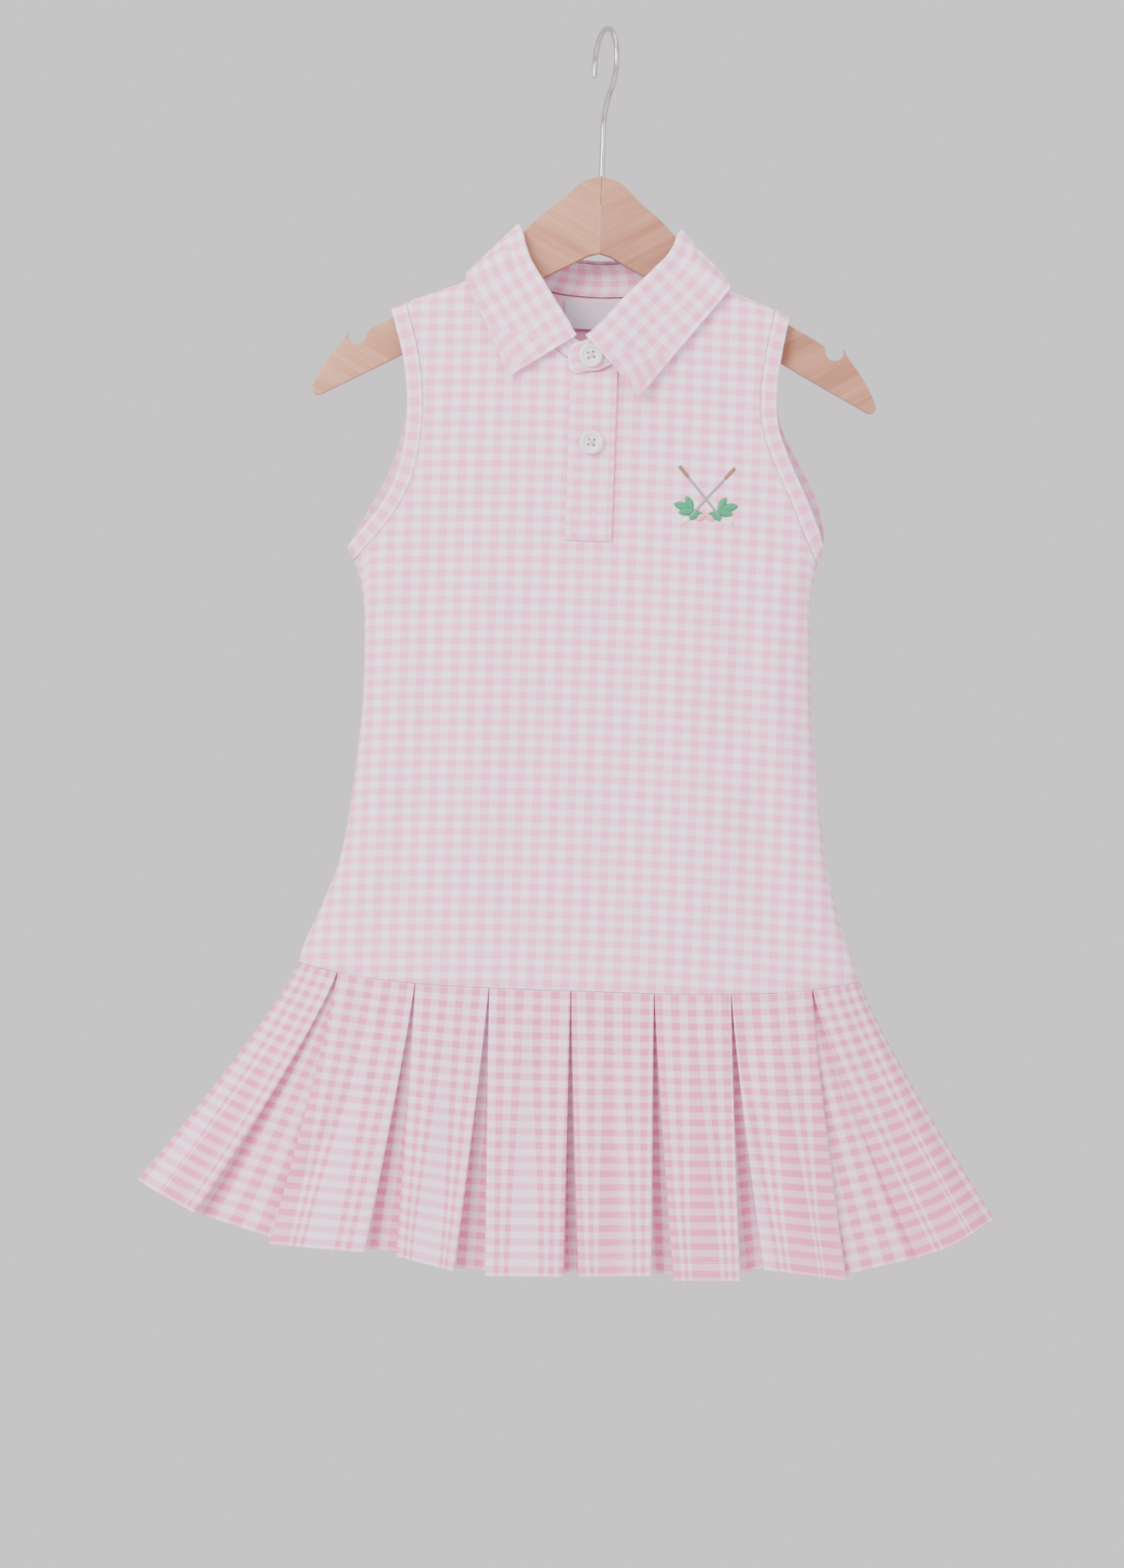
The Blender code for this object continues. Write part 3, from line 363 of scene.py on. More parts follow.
def creases_at(creases: Sequence[Crease], x: Array, z: Array) -> Array:
    """How far creases push the cloth out.

    Args:
        creases: The creases.
        x: Places across.
        z: Places up.

    Returns:
        The push at each place, in metres.
    """
    push = np.zeros_like(np.asarray(x, dtype=float) + np.asarray(z, dtype=float))
    for number, crease in enumerate(creases):
        along_x, along_z = crease.x1 - crease.x0, crease.z1 - crease.z0
        length = math.hypot(along_x, along_z)
        t = ((x - crease.x0) * along_x + (z - crease.z0) * along_z) / length**2
        across = ((x - crease.x0) * along_z - (z - crease.z0) * along_x) / length
        wander = crease.width * 0.35 * np.sin(5.1 * t + number)
        width = crease.width * (1 + 0.25 * np.sin(7.3 * t + 2.1 * number))
        ends = ease(t / 0.3 + 0.15) * ease((1 - t) / 0.35 + 0.15)
        push = push + crease.height * ends * np.exp(-(((across - wander) / width) ** 2))
    return push


@dataclass(frozen=True)
class DressForm:
    """The flattened tube that the cloth lies on, from the waist seam to the shoulders."""

    fullness: float = 3.0
    neck_swell: float = 0.0070
    neck_swell_width: float = 0.055
    neck_swell_height: float = 0.060
    neck_swell_z: float = -0.200
    neck_swell_behind: float = 0.3
    shoulder_round: float = 0.014
    band_width: float = 0.0102
    armhole_step: float = 0.02
    armhole_end: float = 0.2
    underarm_way: tuple[float, float] = (0.45, 0.89)
    waist_z: float = -0.5965
    waist_rise: float = 0.0115
    waist_bend: float = 4.0

    def half_width(self, x: Array, z: Array) -> Array:
        """Half the tube's width on the side of x at a height."""
        left = table_curve(GIRTHS, "z", "left", z)
        return np.where(np.asarray(x) < 0, left, table_curve(GIRTHS, "z", "right", z))

    def shoulder_z(self, x: Array) -> Array:
        """Height of the shoulder line."""
        x = np.abs(x)
        first, second = SHOULDERS[0], SHOULDERS[1]
        slope = (first.z - second.z) / (second.x - first.x)
        return np.where(x < first.x, first.z + (first.x - x) * slope, table_curve(SHOULDERS, "x", "z", x))

    def y(self, x: Array, z: Array, face: Face, out: Array | float = 0.0, creased: bool = True) -> Array:
        """The cloth's y over places seen from the front.

        Args:
            x: Places across.
            z: Places up.
            face: The front or the back.
            out: How far outside the form.
            creased: Whether the folds of the cloth count.

        Returns:
            The y of each place.
        """
        depth = table_curve(GIRTHS, "z", "front" if face is Face.FRONT else "back", z) + out
        across, up = x / self.neck_swell_width, (z - self.neck_swell_z) / self.neck_swell_height
        swell = self.neck_swell * np.exp(-(across**2) - up**2)
        depth = depth + (swell if face is Face.FRONT else self.neck_swell_behind * swell)
        share = full(x / (self.half_width(x, z) + out), self.fullness)
        below = limit((self.shoulder_z(x) + out - z) / self.shoulder_round)
        deep = np.maximum(HALF_SEAM, depth * share * full(1 - below, self.fullness))
        if creased:
            rows = BODICE_CREASES if face is Face.FRONT else BACK_CREASES
            waist = self.waist_at(x)
            seam_dip = 0.0008 * np.exp(-(((z - waist) / 0.0018) ** 2))
            deep = deep + (creases_at(rows, x, z) - seam_dip) * ease((share - 0.12) / 0.5)
        return face.value * np.maximum(deep, HALF_SEAM)

    def point(self, x: Array, z: Array, face: Face, out: Array | float = 0.0) -> Array:
        """Points on the cloth over places seen from the front."""
        return stack(x, self.y(x, z, face, out), z)

    def armhole(self, side: Side, face: Face, share: Array) -> tuple[Array, Array]:
        """Places (x, z) up an armhole's seam."""
        name = "left" if side is Side.LEFT else "right"
        x = table_path(ARMHOLES, name + "_x", share)
        if face is Face.BACK:
            x = x + table_path(ARMHOLES, "back_out", share)
        return side.value * x, table_path(ARMHOLES, name + "_z", share)

    def armhole_edge(self, side: Side, face: Face, share: Array, width: Array) -> tuple[Array, Array]:
        """Places (x, z) at a distance outside an armhole's seam.

        Args:
            side: The left or the right.
            face: The front or the back.
            share: How far up the seam, from the underarm.
            width: The distance out from it.

        Returns:
            The x and the z of each place.
        """
        x, z = self.armhole(side, face, share)
        low_x, low_z = self.armhole(side, face, np.maximum(0.0, share - self.armhole_step))
        high_x, high_z = self.armhole(side, face, np.minimum(1.0, share + self.armhole_step))
        along = unit(np.stack([high_x - low_x, high_z - low_z], axis=-1))
        out = np.stack([side.value * along[..., 1], -side.value * along[..., 0]], axis=-1)
        underarm = np.array([side.value * self.underarm_way[0], self.underarm_way[1]])
        tip = abs(float(self.armhole(side, face, np.array(1.0))[0]))
        reach = np.abs(width) + np.zeros_like(share)
        slope = self.shoulder_z(tip + reach) - self.shoulder_z(np.array(tip))
        over = unit(np.stack([side.value * reach, slope], axis=-1))
        low = ease(1 - share / self.armhole_end)[..., None]
        high = ease(1 - (1 - share) / self.armhole_end)[..., None]
        out = unit(mix(out, underarm, low))
        out = unit(mix(out, over, high))
        return x + out[..., 0] * width, z + out[..., 1] * width

    def waist_at(self, x: Array) -> Array:
        """Height of the waist seam."""
        wide = self.half_width(x, np.full_like(np.asarray(x, dtype=float), self.waist_z))
        return self.waist_z + self.waist_rise * np.abs(x / wide) ** self.waist_bend


@dataclass(frozen=True)
class ClothMap:
    """How far cloth reaches along the form, so that a pattern follows it."""

    form: DressForm
    face: Face
    half_x: float = 0.180
    low_z: float = -0.605
    high_z: float = -0.120
    steps: int = 241
    droop: float = 0.0022

    def lengths(self, x: Array, z: Array) -> Array:
        """Cloth lengths across and up.

        Args:
            x: Places across.
            z: Places up.

        Returns:
            Pairs of lengths: across from the middle line and up from the waist.
        """
        xs = np.linspace(-self.half_x, self.half_x, self.steps)
        zs = np.linspace(self.low_z, self.high_z, self.steps)
        deep = self.form.y(xs[:, None], zs[None, :], self.face, creased=False)
        across = np.hypot(np.diff(deep, axis=0), xs[1] - xs[0])
        across = np.vstack([np.zeros(self.steps), np.cumsum(across, axis=0)])
        across -= across[self.steps // 2]
        up = np.hypot(np.diff(deep, axis=1), zs[1] - zs[0])
        up = np.hstack([np.zeros((self.steps, 1)), np.cumsum(up, axis=1)])
        i = np.clip((x + self.half_x) / (xs[1] - xs[0]), 0, self.steps - 1.001)
        k = np.clip((z - self.low_z) / (zs[1] - zs[0]), 0, self.steps - 1.001)
        i0, k0 = i.astype(int), k.astype(int)
        di, dk = i - i0, k - k0
        pair = []
        for grid in (across, up):
            low = mix(grid[i0, k0], grid[i0 + 1, k0], di)
            pair.append(mix(low, mix(grid[i0, k0 + 1], grid[i0 + 1, k0 + 1], di), dk))
        pair[1] = pair[1] + self.droop * (x / 0.1) ** 2
        return np.stack(pair, axis=-1)


class NodeSheet:
    """A node tree being written."""

    def __init__(self, tree: bpy.types.NodeTree) -> None:
        """Keeps the tree."""
        self.tree = tree

    def node(self, kind: str, **settings: object) -> bpy.types.Node:
        """A new node with its settings."""
        made = self.tree.nodes.new(kind)
        for name, value in settings.items():
            setattr(made, name, value)
        return made

    def feed(self, socket: bpy.types.NodeSocket, value: object) -> None:
        """Gives a socket a link or a value."""
        if isinstance(value, bpy.types.NodeSocket):
            self.tree.links.new(value, socket)
        else:
            socket.default_value = value

    def math(self, operation: str, first: object, second: object = 0.0) -> bpy.types.NodeSocket:
        """The result of a Math node."""
        made = self.node("ShaderNodeMath", operation=operation)
        self.feed(made.inputs[0], first)
        self.feed(made.inputs[1], second)
        return made.outputs[0]

    def mix(self, share: object, first: object, second: object) -> bpy.types.NodeSocket:
        """The mix of two colours."""
        made = self.node("ShaderNodeMix", data_type="RGBA")
        self.feed(made.inputs[0], share)
        self.feed(made.inputs[6], first)
        self.feed(made.inputs[7], second)
        return made.outputs[2]

    def noise(self, place: object, scale: float, detail: float = 2.0) -> bpy.types.NodeSocket:
        """The value of a Noise node."""
        made = self.node("ShaderNodeTexNoise")
        self.feed(made.inputs["Vector"], place)
        made.inputs["Scale"].default_value = scale
        made.inputs["Detail"].default_value = detail
        return made.outputs["Fac"]

    def stretched(self, place: object, scale: tuple[float, float, float]) -> bpy.types.NodeSocket:
        """A place stretched along its axes."""
        made = self.node("ShaderNodeVectorMath", operation="MULTIPLY")
        self.feed(made.inputs[0], place)
        made.inputs[1].default_value = scale
        return made.outputs[0]

    def bump(self, height: object, strength: float, distance: float) -> bpy.types.NodeSocket:
        """The normal of a Bump node."""
        made = self.node("ShaderNodeBump")
        made.inputs["Strength"].default_value = strength
        made.inputs["Distance"].default_value = distance
        self.feed(made.inputs["Height"], height)
        return made.outputs["Normal"]


def new_group(name: str, inputs: Sequence[tuple[str, str]], outputs: Sequence[tuple[str, str]]) -> NodeSheet:
    """A new node group with named sockets."""
    tree = bpy.data.node_groups.new(name, "ShaderNodeTree")
    for label, kind in inputs:
        tree.interface.new_socket(name=label, in_out="INPUT", socket_type=kind)
    for label, kind in outputs:
        tree.interface.new_socket(name=label, in_out="OUTPUT", socket_type=kind)
    return NodeSheet(tree)


def linear(red: int, green: int, blue: int) -> tuple[float, float, float, float]:
    """A display colour as linear light."""
    parts = []
    for part in (red, green, blue):
        share = part / 255
        parts.append(share / 12.92 if share <= 0.04045 else ((share + 0.055) / 1.055) ** 2.4)
    return (parts[0], parts[1], parts[2], 1.0)


def check_group() -> bpy.types.NodeTree:
    """The gingham print and the knit under it, laid out on the cloth's own map.

    Returns:
        A group that gives the print's colour and the knit's height.
    """
    found = bpy.data.node_groups.get("gingham knit")
    if found:
        return found
    colour, number = "NodeSocketColor", "NodeSocketFloat"
    inputs = [("White", colour), ("Half", colour), ("Full", colour), ("Across", number), ("Down", number)]
    sheet = new_group("gingham knit", inputs, [("Color", colour), ("Height", number)])
    asked = sheet.node("NodeGroupInput")
    given = sheet.node("NodeGroupOutput")
    cloth = sheet.node("ShaderNodeUVMap", uv_map="cloth").outputs["UV"]
    split = sheet.node("ShaderNodeSeparateXYZ")
    sheet.feed(split.inputs[0], cloth)
    wobble = sheet.math("MULTIPLY", sheet.math("SUBTRACT", sheet.noise(cloth, 900.0), 0.5), 0.0009)
    stripes = []
    for axis, pitch in (("X", "Across"), ("Y", "Down")):
        place = sheet.math("ADD", split.outputs[axis], wobble)
        turns = sheet.math("MULTIPLY", sheet.math("DIVIDE", place, asked.outputs[pitch]), 2.0)
        wave = sheet.math("PINGPONG", turns, 1.0)
        edge = sheet.node("ShaderNodeMapRange", interpolation_type="SMOOTHSTEP")
        sheet.feed(edge.inputs["Value"], wave)
        edge.inputs["From Min"].default_value = 0.40
        edge.inputs["From Max"].default_value = 0.60
        stripes.append(edge.outputs[0])
    both = sheet.math("ADD", stripes[0], stripes[1])
    light = sheet.mix(sheet.math("MINIMUM", both, 1.0), asked.outputs["White"], asked.outputs["Half"])
    over = sheet.math("MAXIMUM", sheet.math("SUBTRACT", both, 1.0), 0.0)
    printed = sheet.mix(over, light, asked.outputs["Full"])
    yarn = sheet.noise(sheet.stretched(cloth, (700.0, 2600.0, 1.0)), 1.0, 3.0)
    shade = sheet.node("ShaderNodeHueSaturation")
    sheet.feed(shade.inputs["Color"], printed)
    sheet.feed(shade.inputs["Value"], sheet.math("ADD", sheet.math("MULTIPLY", yarn, 0.10), 0.95))
    sheet.feed(given.inputs["Color"], shade.outputs["Color"])
    loops = []
    for axis, pitch in (("X", 0.00062), ("Y", 0.00048)):
        loops.append(sheet.math("SINE", sheet.math("MULTIPLY", split.outputs[axis], 2 * math.pi / pitch)))
    knit = sheet.math("MULTIPLY", loops[0], loops[1])
    sheet.feed(given.inputs["Height"], sheet.math("ADD", sheet.math("MULTIPLY", knit, 0.4), yarn))
    return sheet.tree


@dataclass(frozen=True)
class GinghamFinish:
    """Pink and white gingham knit."""

    name: str = "gingham_knit"
    white: tuple[int, int, int] = (250, 230, 244)
    half: tuple[int, int, int] = (250, 200, 226)
    full: tuple[int, int, int] = (248, 166, 200)
    across: float = 0.0107
    down: float = 0.00845
    washed: float = 0.0
    bump: float = 0.35

    def build(self) -> bpy.types.Material:
        """The cloth's material."""
        material = bpy.data.materials.new(self.name)
        material.use_nodes = True
        sheet = NodeSheet(material.node_tree)
        shader = material.node_tree.nodes["Principled BSDF"]
        check = sheet.node("ShaderNodeGroup", node_tree=check_group())
        pale = np.array(self.white) * 0.4 + np.array(self.full) * 0.6
        for label, tone in (("White", self.white), ("Half", self.half), ("Full", self.full)):
            washed = mix(np.array(tone, dtype=float), pale, self.washed)
            check.inputs[label].default_value = linear(*washed)
        check.inputs["Across"].default_value = self.across
        check.inputs["Down"].default_value = self.down
        sheet.feed(shader.inputs["Base Color"], check.outputs["Color"])
        sheet.feed(shader.inputs["Normal"], sheet.bump(check.outputs["Height"], self.bump, 0.0002))
        shader.inputs["Roughness"].default_value = 0.82
        shader.inputs["Specular IOR Level"].default_value = 0.25
        shader.inputs["Sheen Weight"].default_value = 0.25
        shader.inputs["Sheen Roughness"].default_value = 0.45
        shader.inputs["Sheen Tint"].default_value = linear(255, 232, 242)
        return material


@dataclass(frozen=True)
class ThreadFinish:
    """Twisted sewing or embroidery thread."""

    name: str
    tone: tuple[int, int, int]
    twist: float = 0.0006
    lean: float = 0.5
    gloss: float = 0.5

    def build(self) -> bpy.types.Material:
        """The thread's material, with fine slanted strands, darker in the grooves between them as painted shade."""
        material = bpy.data.materials.new(self.name)
        material.use_nodes = True
        sheet = NodeSheet(material.node_tree)
        shader = material.node_tree.nodes["Principled BSDF"]
        place = sheet.node("ShaderNodeTexCoord").outputs["Object"]
        split = sheet.node("ShaderNodeSeparateXYZ")
        sheet.feed(split.inputs[0], place)
        slant = sheet.math("MULTIPLY", split.outputs["X"], self.lean)
        along = sheet.math("ADD", split.outputs["Z"], slant)
        strand = sheet.math("SINE", sheet.math("MULTIPLY", along, 2 * math.pi / self.twist))
        height = sheet.math("ADD", sheet.math("MULTIPLY", strand, 0.5), 0.5)
        tone = linear(*self.tone)
        # Painted shade: where the strand wave sinks into the twist's grooves, the colour goes to this darker tone.
        # The specks add a random tone.
        dark = (tone[0] * 0.72, tone[1] * 0.72, tone[2] * 0.72, 1.0)
        speck = sheet.math("MULTIPLY", sheet.noise(place, 2200.0), 0.5)
        sheet.feed(shader.inputs["Base Color"], sheet.mix(sheet.math("ADD", height, speck), dark, tone))
        sheet.feed(shader.inputs["Normal"], sheet.bump(height, 0.5, 0.00015))
        shader.inputs["Roughness"].default_value = self.gloss
        shader.inputs["Sheen Weight"].default_value = 0.2
        return material


@dataclass(frozen=True)
class PearlFinish:
    """A pale pearl button's clouded gloss."""

    name: str = "pearl_button"
    light: tuple[int, int, int] = (244, 238, 244)
    dark: tuple[int, int, int] = (222, 212, 222)

    def build(self) -> bpy.types.Material:
        """The button's material."""
        material = bpy.data.materials.new(self.name)
        material.use_nodes = True
        sheet = NodeSheet(material.node_tree)
        shader = material.node_tree.nodes["Principled BSDF"]
        place = sheet.node("ShaderNodeTexCoord").outputs["Object"]
        cloud = sheet.noise(sheet.stretched(place, (1.0, 1.0, 2.2)), 170.0, 4.0)
        sheet.feed(shader.inputs["Base Color"], sheet.mix(cloud, linear(*self.dark), linear(*self.light)))
        sheet.feed(shader.inputs["Roughness"], sheet.math("ADD", sheet.math("MULTIPLY", cloud, 0.12), 0.18))
        shader.inputs["Coat Weight"].default_value = 0.4
        shader.inputs["Coat Roughness"].default_value = 0.12
        return material


@dataclass(frozen=True)
class SatinFinish:
    """The bare woven label."""

    name: str = "label_satin"
    light: tuple[int, int, int] = (226, 219, 233)
    dark: tuple[int, int, int] = (204, 195, 214)

    def build(self) -> bpy.types.Material:
        """The label's material, with fine cross ribs, darker in their hollows as painted shade."""
        material = bpy.data.materials.new(self.name)
        material.use_nodes = True
        sheet = NodeSheet(material.node_tree)
        shader = material.node_tree.nodes["Principled BSDF"]
        place = sheet.node("ShaderNodeTexCoord").outputs["Object"]
        ribs = sheet.noise(sheet.stretched(place, (900.0, 200.0, 5200.0)), 1.0, 2.0)
        # Painted shade: the same rib noise as the bump darkens the label where the ribs sink.
        sheet.feed(shader.inputs["Base Color"], sheet.mix(ribs, linear(*self.dark), linear(*self.light)))
        sheet.feed(shader.inputs["Normal"], sheet.bump(ribs, 0.4, 0.0002))
        shader.inputs["Roughness"].default_value = 0.42
        shader.inputs["Sheen Weight"].default_value = 0.3
        return material


def wood_group() -> bpy.types.NodeTree:
    """Straight wood grain that runs at an angle in the XZ plane.

    Returns:
        A group that gives the grain's colour, height and roughness.
    """
    found = bpy.data.node_groups.get("wood grain")
    if found:
        return found
    colour, number = "NodeSocketColor", "NodeSocketFloat"
    inputs = [("Light", colour), ("Dark", colour), ("Angle", number), ("Shift", number)]
    outputs = [("Color", colour), ("Height", number), ("Roughness", number)]
    sheet = new_group("wood grain", inputs, outputs)
    asked = sheet.node("NodeGroupInput")
    given = sheet.node("NodeGroupOutput")
    place = sheet.node("ShaderNodeTexCoord").outputs["Object"]
    turned = sheet.node("ShaderNodeVectorRotate", rotation_type="Y_AXIS")
    sheet.feed(turned.inputs["Vector"], place)
    sheet.feed(turned.inputs["Angle"], asked.outputs["Angle"])
    moved = sheet.node("ShaderNodeVectorMath", operation="ADD")
    sheet.feed(moved.inputs[0], turned.outputs[0])
    shift = sheet.node("ShaderNodeCombineXYZ")
    sheet.feed(shift.inputs[2], asked.outputs["Shift"])
    sheet.feed(moved.inputs[1], shift.outputs[0])
    broad = sheet.noise(sheet.stretched(moved.outputs[0], (5.0, 30.0, 95.0)), 1.0, 3.0)
    fine = sheet.noise(sheet.stretched(moved.outputs[0], (34.0, 300.0, 1500.0)), 1.0, 3.0)
    pores = sheet.noise(sheet.stretched(moved.outputs[0], (260.0, 900.0, 2600.0)), 1.0, 1.0)
    blend = sheet.math("ADD", sheet.math("MULTIPLY", broad, 0.75), sheet.math("MULTIPLY", fine, 0.35))
    edge = sheet.node("ShaderNodeMapRange", interpolation_type="SMOOTHSTEP")
    sheet.feed(edge.inputs["Value"], blend)
    edge.inputs["From Min"].default_value = 0.35
    edge.inputs["From Max"].default_value = 0.75
    toned = sheet.mix(edge.outputs[0], asked.outputs["Dark"], asked.outputs["Light"])
    dots = sheet.math("GREATER_THAN", pores, 0.66)
    speck = sheet.mix(sheet.math("MULTIPLY", dots, 0.25), toned, linear(120, 76, 54))
    sheet.feed(given.inputs["Color"], speck)
    sheet.feed(given.inputs["Height"], sheet.math("SUBTRACT", fine, sheet.math("MULTIPLY", dots, 0.3)))
    sheet.feed(given.inputs["Roughness"], sheet.math("ADD", sheet.math("MULTIPLY", fine, 0.18), 0.34))
    return sheet.tree


@dataclass(frozen=True)
class BeechFinish:
    """Lacquered beech with its grain along one arm of the hanger."""

    name: str
    light: tuple[int, int, int]
    dark: tuple[int, int, int]
    angle: float
    shift: float

    def build(self) -> bpy.types.Material:
        """The wood's material."""
        material = bpy.data.materials.new(self.name)
        material.use_nodes = True
        sheet = NodeSheet(material.node_tree)
        shader = material.node_tree.nodes["Principled BSDF"]
        grain = sheet.node("ShaderNodeGroup", node_tree=wood_group())
        grain.inputs["Light"].default_value = linear(*self.light)
        grain.inputs["Dark"].default_value = linear(*self.dark)
        grain.inputs["Angle"].default_value = self.angle
        grain.inputs["Shift"].default_value = self.shift
        sheet.feed(shader.inputs["Base Color"], grain.outputs["Color"])
        sheet.feed(shader.inputs["Roughness"], grain.outputs["Roughness"])
        sheet.feed(shader.inputs["Normal"], sheet.bump(grain.outputs["Height"], 0.25, 0.0003))
        shader.inputs["Coat Weight"].default_value = 0.15
        shader.inputs["Coat Roughness"].default_value = 0.3
        return material


@dataclass(frozen=True)
class SteelFinish:
    """Drawn and plated steel wire."""

    name: str = "steel_wire"
    tone: tuple[int, int, int] = (205, 200, 198)

    def build(self) -> bpy.types.Material:
        """The wire's material, a little uneven in its polish."""
        material = bpy.data.materials.new(self.name)
        material.use_nodes = True
        sheet = NodeSheet(material.node_tree)
        shader = material.node_tree.nodes["Principled BSDF"]
        place = sheet.node("ShaderNodeTexCoord").outputs["Object"]
        rub = sheet.noise(sheet.stretched(place, (1.0, 1.0, 0.15)), 900.0, 3.0)
        tone = linear(*self.tone)
        dull = (tone[0] * 0.8, tone[1] * 0.79, tone[2] * 0.78, 1.0)
        sheet.feed(shader.inputs["Base Color"], sheet.mix(rub, dull, tone))
        sheet.feed(shader.inputs["Roughness"], sheet.math("ADD", sheet.math("MULTIPLY", rub, 0.15), 0.16))
        shader.inputs["Metallic"].default_value = 1.0
        return material


@dataclass(frozen=True)
class StageFinish:
    """The pale floor."""

    name: str = "pale_paper"
    light: tuple[int, int, int] = (232, 227, 230)
    dark: tuple[int, int, int] = (226, 220, 223)

    def build(self) -> bpy.types.Material:
        """The floor's material, faintly uneven."""
        material = bpy.data.materials.new(self.name)
        material.use_nodes = True
        sheet = NodeSheet(material.node_tree)
        shader = material.node_tree.nodes["Principled BSDF"]
        place = sheet.node("ShaderNodeTexCoord").outputs["Object"]
        cloud = sheet.noise(place, 1.6, 3.0)
        sheet.feed(shader.inputs["Base Color"], sheet.mix(cloud, linear(*self.dark), linear(*self.light)))
        shader.inputs["Roughness"].default_value = 0.9
        return material


def keep_piece(piece: bpy.types.Object, nodes: Sequence[str] = ()) -> bpy.types.Object:
    """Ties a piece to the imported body.

    Args:
        piece: The piece.
        nodes: The solids that it stands for.

    Returns:
        The piece.
    """
    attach(piece, BODY)
    if nodes:
        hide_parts(*nodes)
    LOG.info("made %s", piece.name)
    return piece


def link(name: str, mesh: bpy.types.Mesh, *materials: bpy.types.Material) -> bpy.types.Object:
    """A new object of a mesh, with its materials."""
    made = bpy.data.objects.new(name, mesh)
    bpy.context.scene.collection.objects.link(made)
    for material in materials:
        mesh.materials.append(material)
    return made


@dataclass(frozen=True)
class ClothGrid:
    """A sheet of cloth: a fine grid moved to its form, with its own map of cloth lengths."""

    columns: Array
    rows: Array
    place: Place
    lengths: Callable[[Array, Array, Array], Array]
    wall: float
    flipped: bool = False
    outward: bool = False
    ring: bool = False
    tube: bool = False

    def build(self, name: str, *materials: bpy.types.Material) -> bpy.types.Object:
        """Makes the sheet.

        Args:
            name: The piece's name.
            materials: The right side's finish, then the wrong side's.

        Returns:
            The piece.
        """
        grid = bmesh.new()
        wide, high = len(self.columns) - 1, len(self.rows) - 1
        bmesh.ops.create_grid(grid, x_segments=wide, y_segments=high, size=1.0)
        if self.flipped:
            bmesh.ops.reverse_faces(grid, faces=grid.faces)
        mesh = bpy.data.meshes.new(name)
        grid.to_mesh(mesh)
        grid.free()
        flat = np.empty(len(mesh.vertices) * 3)
        mesh.vertices.foreach_get("co", flat)
        flat = flat.reshape(-1, 3)
        u = self.columns[np.rint((flat[:, 0] + 1) / 2 * wide).astype(int)]
        v = self.rows[np.rint((flat[:, 1] + 1) / 2 * high).astype(int)]
        points = self.place(u, v)
        mesh.vertices.foreach_set("co", points.ravel())
        corners = np.empty(len(mesh.loops), dtype=np.int32)
        mesh.loops.foreach_get("vertex_index", corners)
        cloth = mesh.uv_layers.new(name="cloth")
        cloth.data.foreach_set("uv", self.lengths(u, v, points)[corners].ravel())
        if self.ring or self.tube:
            joined = bmesh.new()
            joined.from_mesh(mesh)
            bmesh.ops.remove_doubles(joined, verts=joined.verts, dist=1e-6)
            joined.to_mesh(mesh)
            joined.free()
        mesh.update()
        mesh.shade_smooth()
        piece = link(name, mesh, *materials)
        if not self.tube:
            wall = piece.modifiers.new("wall", "SOLIDIFY")
            wall.thickness = self.wall
            wall.offset = 1 if self.outward else -1
            wall.use_even_offset = False
            wall.material_offset = len(materials) - 1
        return piece

    def normals(self, u: Array, v: Array) -> Array:
        """The ways that the sheet faces at places on it."""
        step = 0.002
        across = self.place(limit(u + step), v) - self.place(limit(u - step), v)
        up = self.place(u, limit(v + step)) - self.place(u, limit(v - step))
        facing = unit(np.cross(across, up))
        return -facing if self.flipped else facing


@dataclass(frozen=True)
class Stitching:
    """Rows of machine stitches."""

    length: float = 0.0023
    gap: float = 0.0008
    radius: float = 0.00024
    lift: float = 0.00008

    def sew(self, seams: bmesh.types.BMesh, path: Array, normals: Array) -> None:
        """Adds one row of stitches.

        Args:
            seams: The mesh that they go to.
            path: Points along the row.
            normals: The ways that the cloth faces there.
        """
        steps = np.linalg.norm(np.diff(path, axis=0), axis=1)
        reach = np.concatenate([[0.0], np.cumsum(steps)])
        pitch = self.length + self.gap
        count = max(1, int(reach[-1] / pitch))
        for number in range(count):
            ends = []
            for at in (number * pitch, number * pitch + self.length):
                spot = [np.interp(at, reach, path[:, axis]) for axis in range(3)]
                way = [np.interp(at, reach, normals[:, axis]) for axis in range(3)]
                ends.append(Vector(spot) + Vector(way) * self.lift)
            along = ends[1] - ends[0]
            turn = along.to_track_quat("Z", "Y").to_matrix().to_4x4()
            size = Matrix.Diagonal((self.radius, self.radius, along.length / 2, 1.0))
            middle = Matrix.Translation((ends[0] + ends[1]) / 2)
            bmesh.ops.create_uvsphere(
                seams, u_segments=6, v_segments=4, radius=1.0, matrix=middle @ turn @ size
            )

    def build(self, name: str, rows: Sequence[tuple[Array, Array]], thread: bpy.types.Material) -> bpy.types.Object:
        """A piece that holds several rows of stitches."""
        seams = bmesh.new()
        for path, normals in rows:
            self.sew(seams, path, normals)
        mesh = bpy.data.meshes.new(name)
        seams.to_mesh(mesh)
        seams.free()
        mesh.shade_smooth()
        return keep_piece(link(name, mesh, thread))


@dataclass
class Wardrobe:
    """The finishes that several pieces share."""

    knit: bpy.types.Material
    skirt_knit: bpy.types.Material
    inside: bpy.types.Material
    thread: bpy.types.Material

    @classmethod
    def stocked(cls) -> "Wardrobe":
        """A wardrobe with every shared finish made."""
        return cls(
            knit=GinghamFinish().build(),
            # The skirt uses a deeper copy of the same gingham knit as the bodice: painted shade over the whole
            # skirt.
            skirt_knit=GinghamFinish(
                name="gingham_knit_skirt_painted_shade", white=(244, 216, 234), half=(240, 180, 208), full=(232, 132, 170)
            ).build(),
            inside=GinghamFinish(name="gingham_wrong_side", washed=0.72, bump=0.5).build(),
            thread=ThreadFinish("sewing_thread", (246, 226, 237)).build(),
        )


